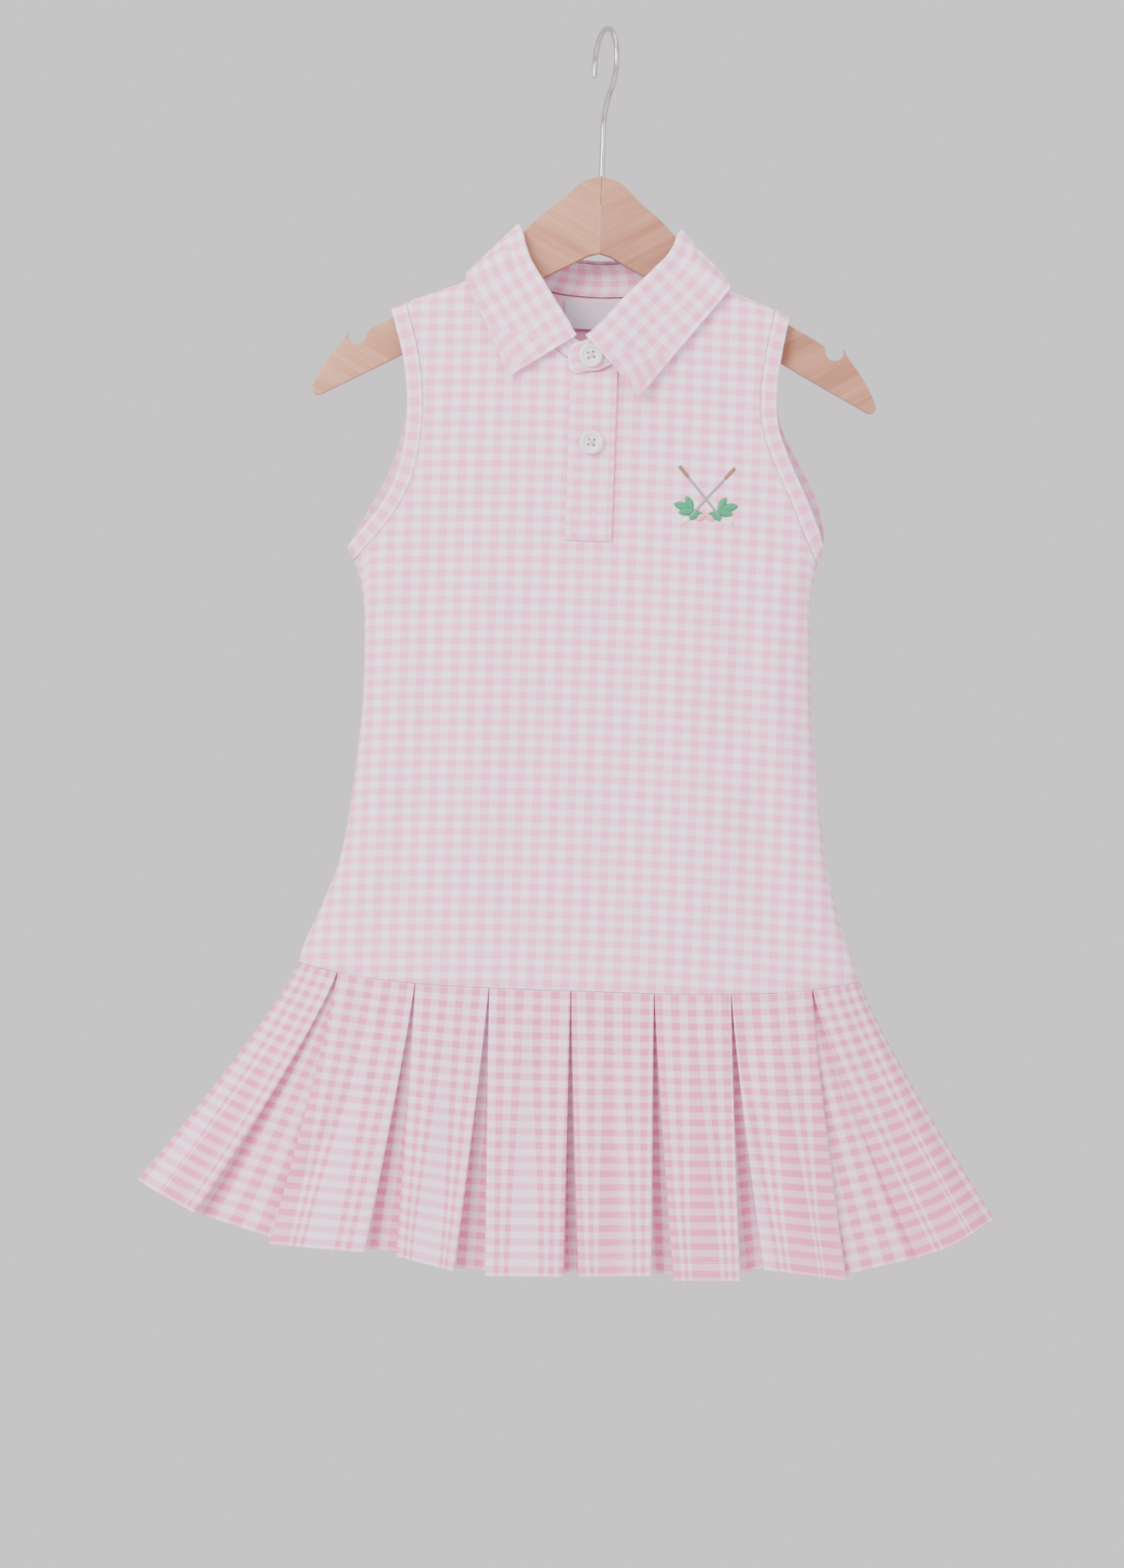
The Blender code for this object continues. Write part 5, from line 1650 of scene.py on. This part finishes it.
    def build(self, wardrobe: Wardrobe) -> bpy.types.Object:
        """Makes the leaf and its topstitching."""
        end = 0.018 * np.linspace(0, 1, 10) ** 1.2
        columns = np.concatenate([end, np.linspace(0.02, 0.98, 230), 1 - end[::-1]])
        rows = np.concatenate([
            np.linspace(0, self.roll_share, 7)[:-1], np.linspace(self.roll_share, 0.90, 34),
            np.linspace(0.91, 1.0, 12),
        ])
        fold = self.place(columns, np.full_like(columns, self.roll_share))
        steps = np.linalg.norm(np.diff(fold, axis=0), axis=1)
        reach = np.concatenate([[0.0], np.cumsum(steps)])
        start_way, end_way = unit(fold[0] - fold[8]), unit(fold[-1] - fold[-9])
        extra = 0.04
        line = np.vstack([fold[0] + start_way * extra, fold, fold[-1] + end_way * extra])
        reach = np.concatenate([[-extra], reach, [reach[-1] + extra]])

        def lengths(u: Array, v: Array, points: Array) -> Array:
            """Cloth lengths along the fold and down from it."""
            pairs = np.empty((len(points), 2))
            for first in range(0, len(points), 2000):
                part = points[first:first + 2000]
                start, way = line[:-1], np.diff(line, axis=0)
                t = np.einsum("ijk,jk->ij", part[:, None] - start[None], way)
                t = limit(t / np.sum(way**2, axis=1))
                near = start[None] + way[None] * t[..., None]
                away = np.linalg.norm(part[:, None] - near, axis=2)
                best = away.argmin(axis=1)
                rows_here = np.arange(len(part))
                along = mix(reach[best], reach[best + 1], t[rows_here, best])
                pairs[first:first + 2000] = np.stack([along, away[rows_here, best]], axis=1)
            return pairs

        grid = ClothGrid(columns, rows, self.place, lengths, self.wall, flipped=True)
        piece = grid.build("collar_leaf_cloth", wardrobe.knit, wardrobe.knit)
        soften_edges(piece, 0.00045)
        keep_piece(piece, ["collar_leaf"])
        along = np.linspace(0.012, 0.988, 420)
        marks = [np.stack([along, np.full_like(along, 0.925)], axis=1)]
        for at in (0.011, 0.989):
            down = np.linspace(0.09, 0.925, 60)
            marks.append(np.stack([np.full_like(down, at), down], axis=1))
        runs = []
        for row in marks:
            facing = grid.normals(row[:, 0], row[:, 1])
            runs.append((self.place(row[:, 0], row[:, 1]) + facing * 0.0001, facing))
        Stitching().build("collar_leaf_stitches", runs, wardrobe.thread)
        return piece


@dataclass(frozen=True)
class Placket:
    """The buttoned front strip with its crossed box of stitches."""

    form: DressForm
    left: float = -0.0150
    right: float = 0.0140
    foot_z: float = -0.3180
    top_z: float = -0.2147
    top_slope: float = 0.30
    wall: float = 0.0012
    box_top_z: float = -0.2965
    box_foot_z: float = -0.3160
    flat_size: tuple[float, float] = (0.032, 0.106)

    def place(self, u: Array, v: Array) -> Array:
        """Points at shares across and up the strip."""
        x = mix(self.left, self.right, u)
        top = self.top_z + self.top_slope * x - SEAM
        z = mix(self.foot_z, top, v)
        edge = np.minimum(u, 1 - u) * (self.right - self.left)
        puff = 0.0003 * np.exp(-((edge / 0.0015) ** 2)) - 0.00025 * np.exp(-(((edge - 0.0035) / 0.0008) ** 2))
        wave = 0.0004 * np.sin(16 * v + 1.5) * np.sin(math.pi * u)
        return stack(x, self.form.y(x, z, Face.FRONT, SEAM) - puff - wave, z)

    def build(self, wardrobe: Wardrobe) -> bpy.types.Object:
        """Makes the strip and its stitches."""
        cloth = ClothMap(self.form, Face.FRONT)

        def lengths(u: Array, v: Array, points: Array) -> Array:
            """The bodice's cloth lengths, shifted, since the strip is cut apart."""
            return cloth.lengths(points[:, 0], points[:, 2]) + np.array([0.0031, 0.0022])

        grid = ClothGrid(np.linspace(0, 1, 49), np.linspace(0, 1, 140), self.place, lengths, self.wall, outward=True)
        piece = grid.build("placket_cloth", wardrobe.knit, wardrobe.knit)
        soften_edges(piece, 0.0004)
        keep_piece(piece, ["placket"])
        wide = self.right - self.left
        low, high = (0.0032 / wide), 1 - 0.0034 / wide
        reach = self.top_z - self.foot_z
        box_top, box_foot = (self.box_top_z - self.foot_z) / reach, (self.box_foot_z - self.foot_z) / reach
        corners = [
            [(high, box_foot), (high, 0.97)],
            [(low, box_foot), (low, box_top)],
            [(low, box_top), (high, box_top)],
            [(low, box_foot), (high, box_foot)],
            [(low, box_foot), (high, box_top)],
            [(low, box_top), (high, box_foot)],
        ]
        runs = []
        for start, end in corners:
            t = np.linspace(0, 1, 60)
            u, v = mix(start[0], end[0], t), mix(start[1], end[1], t)
            facing = grid.normals(u, v)
            runs.append((self.place(u, v) + facing * (self.wall + 0.0001), facing))
        Stitching().build("placket_stitches", runs, wardrobe.thread)
        return piece

    def spot(self, x: float, z: float) -> tuple[Vector, Vector]:
        """A place on the strip's outer face, and the way it faces."""
        step = 0.002
        out = SEAM + self.wall + 0.0002
        middle = self.form.point(np.array(x), np.array(z), Face.FRONT, out)
        across = self.form.point(np.array(x + step), np.array(z), Face.FRONT, out) - middle
        up = self.form.point(np.array(x), np.array(z + step), Face.FRONT, out) - middle
        return Vector(middle), Vector(unit(np.cross(across, up)))


@dataclass(frozen=True)
class NeckLabel:
    """The bare label inside the back neck."""

    form: DressForm
    left: float = -0.0205
    right: float = 0.0240
    top_z: float = -0.1668
    foot_z: float = -0.1848
    bodice_wall: float = 0.0012
    wall: float = 0.0006
    flat_size: tuple[float, float] = (0.0445, 0.0185)

    def place(self, u: Array, v: Array) -> Array:
        """Points at shares across and up the label, on its inner face."""
        x, z = mix(self.left, self.right, u), mix(self.foot_z, self.top_z, v)
        inside = self.form.y(x, z, Face.BACK, creased=False) - self.bodice_wall - SEAM
        curl = 0.0008 * (1 - v) ** 2 + 0.0003 * np.sin(7 * u)
        return stack(x, inside - curl * (1 - v), z)

    def build(self, wardrobe: Wardrobe) -> bpy.types.Object:
        """Makes the label, sewn along its top and ends."""
        grid = ClothGrid(
            np.linspace(0, 1, 41), np.linspace(0, 1, 21), self.place,
            lambda u, v, points: points[:, [0, 2]], self.wall, outward=True,
        )
        piece = grid.build("neck_label_cloth", SatinFinish().build())
        keep_piece(piece, ["neck_label"])
        runs = []
        for start, end in (((0.03, 0.93), (0.97, 0.93)), ((0.03, 0.1), (0.03, 0.93)), ((0.97, 0.1), (0.97, 0.93))):
            t = np.linspace(0, 1, 40)
            u, v = mix(start[0], end[0], t), mix(start[1], end[1], t)
            facing = np.tile([0.0, -1.0, 0.0], (len(t), 1))
            runs.append((self.place(u, v) - np.array([0.0, self.wall + 0.0001, 0.0]), facing))
        Stitching(length=0.0018, radius=0.0002).build("label_stitches", runs, wardrobe.thread)
        return piece


@dataclass(frozen=True)
class Button:
    """A turned four-hole button with its crossed thread."""

    name: str
    node: str
    seat: Vector
    facing: Vector
    turn: float = 0.0
    radius: float = 0.0074
    thickness: float = 0.0026
    dish: float = 0.0050
    dish_depth: float = 0.0007
    rim: float = 0.0008
    hole_radius: float = 0.0008
    hole_spacing: float = 0.0016
    gap: float = 0.0004

    def placing(self) -> Matrix:
        """Where the button lies."""
        turned = self.facing.to_track_quat("Z", "Y").to_matrix().to_4x4()
        return Matrix.Translation(self.seat + self.facing * self.gap) @ turned @ Matrix.Rotation(self.turn, 4, "Z")

    def profile(self) -> list[tuple[float, float]]:
        """The turned outline, from the dish's middle round to the back."""
        dish_z = self.thickness - self.dish_depth
        points = [(0.0, dish_z), (self.dish - 0.0009, dish_z)]
        for degrees in (30, 60, 90):
            angle = math.radians(degrees)
            points.append((self.dish - 0.0009 + 0.0009 * math.sin(angle), dish_z + self.dish_depth * (1 - math.cos(angle))))
        for degrees in range(0, 91, 15):
            angle = math.radians(degrees)
            points.append((
                self.radius - self.rim + self.rim * math.sin(angle),
                self.thickness - self.rim + self.rim * math.cos(angle),
            ))
        points += [(self.radius, self.rim), (self.radius - 0.0003, 0.0004), (self.radius - 0.0012, 0.0), (0.0, 0.0)]
        return points

    def build(self, wardrobe: Wardrobe, finish: bpy.types.Material) -> bpy.types.Object:
        """Makes the button, its holes and its thread."""
        turned = bmesh.new()
        profile = [turned.verts.new((x, 0.0, z)) for x, z in self.profile()]
        edges = [turned.edges.new(pair) for pair in zip(profile, profile[1:])]
        bmesh.ops.spin(
            turned, geom=profile + edges, cent=(0, 0, 0), axis=(0, 0, 1), angle=2 * math.pi, steps=64, use_merge=True
        )
        bmesh.ops.remove_doubles(turned, verts=turned.verts, dist=1e-6)
        bmesh.ops.recalc_face_normals(turned, faces=turned.faces)
        mesh = bpy.data.meshes.new(self.name)
        turned.to_mesh(mesh)
        turned.free()
        button = link(self.name, mesh, finish)
        drill = bmesh.new()
        for x in (-1, 1):
            for y in (-1, 1):
                spot = Matrix.Translation((x * self.hole_spacing, y * self.hole_spacing, self.thickness / 2))
                bmesh.ops.create_cone(
                    drill, cap_ends=True, segments=20, radius1=self.hole_radius, radius2=self.hole_radius,
                    depth=3 * self.thickness, matrix=spot,
                )
        holes = bpy.data.meshes.new(self.name + "_holes")
        drill.to_mesh(holes)
        drill.free()
        cutter = link(self.name + "_holes", holes)
        cut = button.modifiers.new("cut", "BOOLEAN")
        cut.operation = "DIFFERENCE"
        cut.solver = "EXACT"
        cut.object = cutter
        bpy.context.view_layer.update()
        bored = bpy.data.meshes.new_from_object(button.evaluated_get(bpy.context.evaluated_depsgraph_get()))
        button.modifiers.clear()
        button.data = bored
        bpy.data.objects.remove(cutter)
        bored.transform(self.placing())
        bored.shade_smooth()
        bored.set_sharp_from_angle(angle=math.radians(40))
        keep_piece(button, [self.node])
        self.tie(wardrobe)
        return button

    def tie(self, wardrobe: Wardrobe) -> bpy.types.Object:
        """Makes the two crossed loops of thread through the holes."""
        loops = bmesh.new()
        for sign in (-1, 1):
            for shift in (-0.00022, 0.00022):
                reach = self.hole_spacing * math.sqrt(2)
                top = self.thickness - self.dish_depth + 0.0003 + (0.0002 if sign > 0 else 0.0)
                spine = []
                for step in range(9):
                    t = step / 8 * 2 - 1
                    sink = 0.0022 * max(0.0, abs(t) - 0.8) / 0.2
                    spine.append(Vector((t * reach, shift * 1.6, top + 0.0003 * (1 - t * t) - sink)))
                for start, end in zip(spine, spine[1:]):
                    along = end - start
                    turn = along.to_track_quat("Z", "Y").to_matrix().to_4x4()
                    size = Matrix.Diagonal((0.00021, 0.00021, along.length * 0.62, 1.0))
                    spin = Matrix.Rotation(sign * math.pi / 4, 4, "Z")
                    middle = Matrix.Translation((start + end) / 2)
                    bmesh.ops.create_uvsphere(
                        loops, u_segments=8, v_segments=5, radius=1.0, matrix=spin @ middle @ turn @ size
                    )
        mesh = bpy.data.meshes.new(self.name + "_thread")
        loops.to_mesh(mesh)
        loops.free()
        mesh.transform(self.placing())
        mesh.shade_smooth()
        return keep_piece(link(self.name + "_thread", mesh, wardrobe.thread))


@dataclass(frozen=True)
class Hanger:
    """The two flat wooden halves."""

    thickness: float = 0.0110
    edge_round: float = 0.0030
    notch: Mark = Mark(0.1485, -0.1945)
    notch_radius: float = 0.0058
    bore_radius: float = 0.0020

    def outline(self) -> list[tuple[float, float]]:
        """The right half's outline, from the centre over the arm to the tip and back."""
        top = (
            Mark(0.0000, -0.0907), Mark(0.0120, -0.0948), Mark(0.0245, -0.1064), Mark(0.0370, -0.1165),
            Mark(0.0490, -0.1290), Mark(0.0560, -0.1380), Mark(0.0640, -0.1484), Mark(0.0740, -0.1550),
            Mark(0.0860, -0.1624), Mark(0.1000, -0.1688), Mark(0.1150, -0.1767), Mark(0.1300, -0.1848),
            Mark(0.1405, -0.1905),
        )
        end = (
            Mark(0.1570, -0.1985), Mark(0.1655, -0.2095), Mark(0.1720, -0.2205), Mark(0.1752, -0.2275),
        )
        bottom = (
            Mark(0.1700, -0.2318), Mark(0.1180, -0.2040), Mark(0.0380, -0.1570), Mark(0.0190, -0.1468),
            Mark(0.0060, -0.1400), Mark(0.0000, -0.1384),
        )
        points = self.smooth(top, 46)
        for degrees in range(165, 376, 14):
            angle = math.radians(degrees)
            x = self.notch.x + self.notch_radius * math.cos(angle)
            points.append((x, self.notch.z + self.notch_radius * math.sin(angle)))
        points += self.smooth(end, 18)
        points += [(0.1752, -0.2297), (0.1742, -0.2314), (0.1725, -0.2322)]
        points += self.smooth(bottom, 30)
        return points

    @staticmethod
    def smooth(marks: Sequence[Mark], count: int) -> list[tuple[float, float]]:
        """Places on a smooth curve through marks, evenly spaced."""
        x, z = column(marks, "x"), column(marks, "z")
        reach = np.concatenate([[0.0], np.cumsum(np.hypot(np.diff(x), np.diff(z)))])
        at = np.linspace(0, reach[-1], count)
        return list(zip(curve(reach, x, at), curve(reach, z, at)))

    def build(self, side: Side) -> bpy.types.Object:
        """Makes one half, bored for the wire at the centre line."""
        name = "hanger_left" if side is Side.LEFT else "hanger_right"
        plate = bmesh.new()
        corners = []
        for x, z in self.outline():
            corners.append(plate.verts.new((side.value * max(x, SEAM / 2), -self.thickness / 2, z)))
        face = plate.faces.new(corners)
        moved = bmesh.ops.extrude_face_region(plate, geom=[face])
        raised = [part for part in moved["geom"] if isinstance(part, bmesh.types.BMVert)]
        bmesh.ops.translate(plate, verts=raised, vec=(0, self.thickness, 0))
        flat = [f for f in plate.faces if len(f.verts) > 4]
        rims = {edge for f in flat for edge in f.edges}
        rims = [edge for edge in rims if any(abs(v.co.x) > SEAM for v in edge.verts)]
        bmesh.ops.bevel(
            plate, geom=rims, offset=self.edge_round, segments=5, profile=0.5, affect="EDGES", material=-1,
            clamp_overlap=True,
        )
        bmesh.ops.recalc_face_normals(plate, faces=plate.faces)
        mesh = bpy.data.meshes.new(name)
        plate.to_mesh(mesh)
        plate.free()
        if side is Side.LEFT:
            finish = BeechFinish("beech_left", (198, 144, 116), (168, 112, 84), math.radians(-29), 0.31)
        else:
            finish = BeechFinish("beech_right", (184, 130, 103), (150, 96, 72), math.radians(29), 0.77)
        half = link(name, mesh, finish.build())
        drill = bmesh.new()
        bmesh.ops.create_cone(
            drill, cap_ends=True, segments=24, radius1=self.bore_radius, radius2=self.bore_radius, depth=0.038,
            matrix=Matrix.Translation((0, 0, -0.0907)),
        )
        hole = bpy.data.meshes.new(name + "_bore")
        drill.to_mesh(hole)
        drill.free()
        cutter = link(name + "_bore", hole)
        cut = half.modifiers.new("cut", "BOOLEAN")
        cut.operation = "DIFFERENCE"
        cut.solver = "EXACT"
        cut.object = cutter
        bpy.context.view_layer.update()
        bored = bpy.data.meshes.new_from_object(half.evaluated_get(bpy.context.evaluated_depsgraph_get()))
        half.modifiers.clear()
        half.data = bored
        bpy.data.objects.remove(cutter)
        bored.shade_smooth()
        bored.set_sharp_from_angle(angle=math.radians(35))
        node = "hanger_half_left" if side is Side.LEFT else "hanger_half_right"
        return keep_piece(half, [node])


@dataclass(frozen=True)
class Hook:
    """The bent steel wire."""

    wire: float = 0.0017
    inner_radius: float = 0.0200
    yaw: float = math.radians(18)
    front_angle: float = -50.0
    tip_angle: float = 198.0
    bend_z: float = -0.0600
    foot_z: float = -0.1080
    bend_up: float = 0.0110
    bend_back: float = 0.0090

    def spine(self) -> list[Vector]:
        """The wire's middle line, from its foot to its open tip."""
        radius = self.inner_radius + self.wire
        points = [Vector((0, mix(self.foot_z, self.bend_z, i / 6))) for i in range(7)]
        turn = math.radians(self.front_angle)
        start = Vector((radius * math.cos(turn), -self.inner_radius + radius * math.sin(turn)))
        heading = Vector((-math.sin(turn), math.cos(turn)))
        low = points[-1]
        leave, reach = low + Vector((0, self.bend_up)), start - heading * self.bend_back
        for i in range(1, 18):
            t = i / 18
            keep = 1 - t
            points.append(low * keep**3 + leave * (3 * keep * keep * t) + reach * (3 * keep * t * t) + start * t**3)
        for i in range(57):
            angle = math.radians(mix(self.front_angle, self.tip_angle, i / 56))
            points.append(Vector((radius * math.cos(angle), -self.inner_radius + radius * math.sin(angle))))
        across, out = math.sin(self.yaw), -math.cos(self.yaw)
        return [Vector((p.x * across, p.x * out, p.y)) for p in points]

    def build(self) -> bpy.types.Object:
        """Makes the wire with a rounded tip."""
        wire = bmesh.new()
        spine = self.spine()
        rings = []
        for i, middle in enumerate(spine):
            along = (spine[min(i + 1, len(spine) - 1)] - spine[max(i - 1, 0)]).normalized()
            turn = along.to_track_quat("Z", "X").to_matrix().to_4x4()
            ring = bmesh.ops.create_circle(
                wire, cap_ends=False, radius=self.wire, segments=16, matrix=Matrix.Translation(middle) @ turn
            )["verts"]
            rings.append(ring)
        for low, high in zip(rings, rings[1:]):
            edges = [e for ring in (low, high) for e in {edge for v in ring for edge in v.link_edges}
                     if all(v in ring for v in e.verts)]
            bmesh.ops.bridge_loops(wire, edges=edges)
        for ring, middle in ((rings[0], spine[0]), (rings[-1], spine[-1])):
            bmesh.ops.contextual_create(wire, geom=ring)
        caps = [f for f in wire.faces if len(f.verts) > 4]
        rim = {edge for f in caps for edge in f.edges}
        bmesh.ops.bevel(
            wire, geom=list(rim), offset=0.0008, segments=3, profile=0.5, affect="EDGES", material=-1,
            clamp_overlap=True,
        )
        bmesh.ops.recalc_face_normals(wire, faces=wire.faces)
        mesh = bpy.data.meshes.new("hook_wire")
        wire.to_mesh(mesh)
        wire.free()
        mesh.shade_smooth()
        return keep_piece(link("hook_wire", mesh, SteelFinish().build()), ["hanger_hook"])


class Stroke(NamedTuple):
    """A satin-stitched stripe of the motif, in millimetres from its middle."""

    x0: float
    z0: float
    x1: float
    z1: float
    start: float
    end: float
    thread: str


@dataclass(frozen=True)
class Emblem:
    """A small sewn motif on the chest: crossed clubs over a sprig of leaves."""

    form: DressForm
    middle: Mark = Mark(0.0715, -0.2890)
    raised: float = 0.0006
    scale: float = 1.15
    strokes: tuple[Stroke, ...] = (
        Stroke(-13.0, 14.5, 9.5, -11.5, 0.55, 0.55, "grey"),
        Stroke(13.0, 14.5, -9.5, -11.5, 0.55, 0.55, "grey"),
        Stroke(-15.0, 16.8, -9.8, 10.8, 0.95, 0.85, "brown"),
        Stroke(15.0, 16.8, 9.8, 10.8, 0.95, 0.85, "brown"),
        Stroke(8.6, -11.2, 14.6, -13.6, 1.3, 2.1, "white"),
        Stroke(-8.6, -11.2, -14.6, -13.6, 1.3, 2.1, "white"),
        Stroke(-1.5, -8.6, -11.5, -4.4, 0.6, 0.3, "green"),
        Stroke(1.5, -8.6, 11.5, -4.4, 0.6, 0.3, "green"),
    )
    leaves: tuple[Stroke, ...] = (
        Stroke(-4.0, -7.6, -9.0, -11.8, 2.1, 0.0, "green"),
        Stroke(-6.5, -6.6, -14.6, -8.4, 2.2, 0.0, "green"),
        Stroke(-9.0, -5.4, -17.4, -3.6, 2.2, 0.0, "green"),
        Stroke(-7.0, -6.2, -10.8, 0.8, 2.0, 0.0, "green"),
        Stroke(4.0, -7.6, 9.0, -11.8, 2.1, 0.0, "green"),
        Stroke(6.5, -6.6, 14.6, -8.4, 2.2, 0.0, "green"),
        Stroke(9.0, -5.4, 17.4, -3.6, 2.2, 0.0, "green"),
        Stroke(7.0, -6.2, 10.8, 0.8, 2.0, 0.0, "green"),
        Stroke(0.0, -8.4, -4.6, -12.4, 1.8, 0.0, "pink"),
        Stroke(0.0, -8.4, 4.6, -12.4, 1.8, 0.0, "pink"),
    )

    def patch(self, threads: dict[str, bmesh.types.BMesh], stroke: Stroke, leaf: bool) -> None:
        """Adds one satin patch.

        Args:
            threads: The mesh for each colour of thread.
            stroke: Where it runs, with its half widths.
            leaf: Whether it narrows to a point at both ends.
        """
        mesh = threads[stroke.thread]
        steps, across = 12, 5
        made = bmesh.ops.create_grid(mesh, x_segments=steps, y_segments=across - 1, size=1.0)["verts"]
        start, end = Vector((stroke.x0, stroke.z0)), Vector((stroke.x1, stroke.z1))
        along = end - start
        side = Vector((-along.y, along.x)).normalized()
        for vertex in made:
            t, s = (vertex.co.x + 1) / 2, vertex.co.y
            if leaf:
                wide = stroke.start * math.sin(math.pi * min(1.0, t * 0.97 + 0.03)) ** 0.75
            else:
                wide = mix(stroke.start, stroke.end, t) * (1 - max(0.0, abs(2 * t - 1) - 0.9) * 4)
            spot = (start + along * t + side * (wide * s)) * (self.scale / 1000)
            x, z = self.middle.x + spot.x, self.middle.z + spot.y
            out = 0.0001 + self.raised * math.sqrt(max(0.0, 1 - s * s)) * (0.5 + 0.5 * min(1.0, wide))
            vertex.co = Vector(self.form.point(np.array(x), np.array(z), Face.FRONT)) - Vector((0, out, 0))

    def build(self) -> list[bpy.types.Object]:
        """Makes the motif, one piece for each colour of thread."""
        tones = {
            "green": (38, 150, 98), "grey": (150, 150, 156), "brown": (150, 104, 84),
            "white": (240, 238, 240), "pink": (240, 160, 178),
        }
        threads = {name: bmesh.new() for name in tones}
        for stroke in self.strokes:
            self.patch(threads, stroke, leaf=False)
        for stroke in self.leaves:
            self.patch(threads, stroke, leaf=True)
        pieces = []
        for name, mesh in threads.items():
            data = bpy.data.meshes.new("motif_" + name)
            bmesh.ops.recalc_face_normals(mesh, faces=mesh.faces)
            mesh.to_mesh(data)
            mesh.free()
            data.shade_smooth()
            finish = ThreadFinish("embroidery_" + name, tones[name], twist=0.0009, lean=0.8, gloss=0.42)
            piece = link("motif_" + name, data, finish.build())
            pad = piece.modifiers.new("pad", "SOLIDIFY")
            pad.thickness = 0.0004
            pad.offset = 0
            pieces.append(keep_piece(piece))
        return pieces


@dataclass(frozen=True)
class Studio:
    """The floor, the lights and the camera."""

    distance: float = 3.5
    aim: Mark = Mark(-0.0115, -0.469)
    frame_height: float = 0.9757
    roll: float = math.radians(2.0)
    floor_z: float = -1.30
    floor_half: float = 2.2

    def floor(self) -> bpy.types.Object:
        """Makes the pale floor, which leaves every side of the dress open to view."""
        paper = bmesh.new()
        bmesh.ops.create_grid(
            paper, x_segments=8, y_segments=8, size=self.floor_half, matrix=Matrix.Translation((0, 0, self.floor_z))
        )
        mesh = bpy.data.meshes.new("floor")
        paper.to_mesh(mesh)
        paper.free()
        sheet = link("floor", mesh, StageFinish().build())
        return sheet

    def lamp(self, name: str, spot: tuple[float, float, float], size: float, power: float, tone: Colour) -> None:
        """Adds a square soft light that faces the dress."""
        data = bpy.data.lights.new(name, "AREA")
        data.shape = "SQUARE"
        data.size = size
        data.energy = power
        data.color = tone
        light = bpy.data.objects.new(name, data)
        bpy.context.scene.collection.objects.link(light)
        way = Vector((self.aim.x, 0.0, self.aim.z)) - Vector(spot)
        light.matrix_world = Matrix.Translation(spot) @ way.to_track_quat("-Z", "Y").to_matrix().to_4x4()

    def build(self) -> None:
        """Sets up the floor, lights, sky and camera."""
        self.floor()
        self.lamp("key_light", (-1.7, -2.3, 0.9), 1.6, 138.0, (1.0, 0.985, 0.99))
        self.lamp("fill_light", (2.1, -2.6, 0.2), 2.2, 36.0, (0.97, 0.98, 1.0))
        self.lamp("top_light", (0.0, -0.6, 2.1), 2.0, 30.0, (1.0, 0.99, 0.99))
        world = bpy.data.worlds.new("studio_sky")
        world.use_nodes = True
        sky = world.node_tree.nodes["Background"]
        sky.inputs["Color"].default_value = (0.95, 0.90, 0.93, 1.0)
        sky.inputs["Strength"].default_value = 1.10
        bpy.context.scene.world = world
        data = bpy.data.cameras.new("camera")
        data.sensor_fit = "VERTICAL"
        data.sensor_height = 36.0
        data.lens = 36.0 * self.distance / self.frame_height
        data.clip_end = 30.0
        camera = bpy.data.objects.new("camera", data)
        bpy.context.scene.collection.objects.link(camera)
        stand = Matrix.Translation((self.aim.x, -self.distance, self.aim.z))
        upright = Matrix.Rotation(math.pi / 2, 4, "X")
        camera.matrix_world = stand @ upright @ Matrix.Rotation(self.roll, 4, "Z")
        bpy.context.scene.camera = camera


def main() -> None:
    """Builds every piece in order."""
    logging.basicConfig(level=logging.INFO, format="%(name)s: %(message)s")
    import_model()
    form = DressForm()
    wardrobe = Wardrobe.stocked()
    for side in Side:
        Hanger().build(side)
    Hook().build()
    front, back = Bodice(form, Face.FRONT), Bodice(form, Face.BACK)
    front.build(wardrobe)
    back.build(wardrobe)
    for face in Face:
        Skirt(form, face).build(wardrobe)
    for side in Side:
        ArmholeBand(form, side).build(wardrobe)
    sewn = [panel.armhole_stitches(side) for panel in (front, back) for side in Side]
    Stitching().build("armhole_stitches", sewn, wardrobe.thread)
    stand = CollarStand(form, front)
    stand.build(wardrobe)
    CollarLeaf(form, stand).build(wardrobe)
    placket = Placket(form)
    placket.build(wardrobe)
    NeckLabel(form).build(wardrobe)
    pearl = PearlFinish().build()
    for name, node, spot, turn in (
        ("collar_button", "button_collar", stand.spot(-0.0029, -0.2035), 0.2),
        ("placket_button", "button_placket", placket.spot(-0.0007, -0.2569), -0.1),
    ):
        Button(name, node, spot[0], spot[1], turn).build(wardrobe, pearl)
    Emblem(form).build()
    Studio().build()


if __name__ == "__main__":
    main()
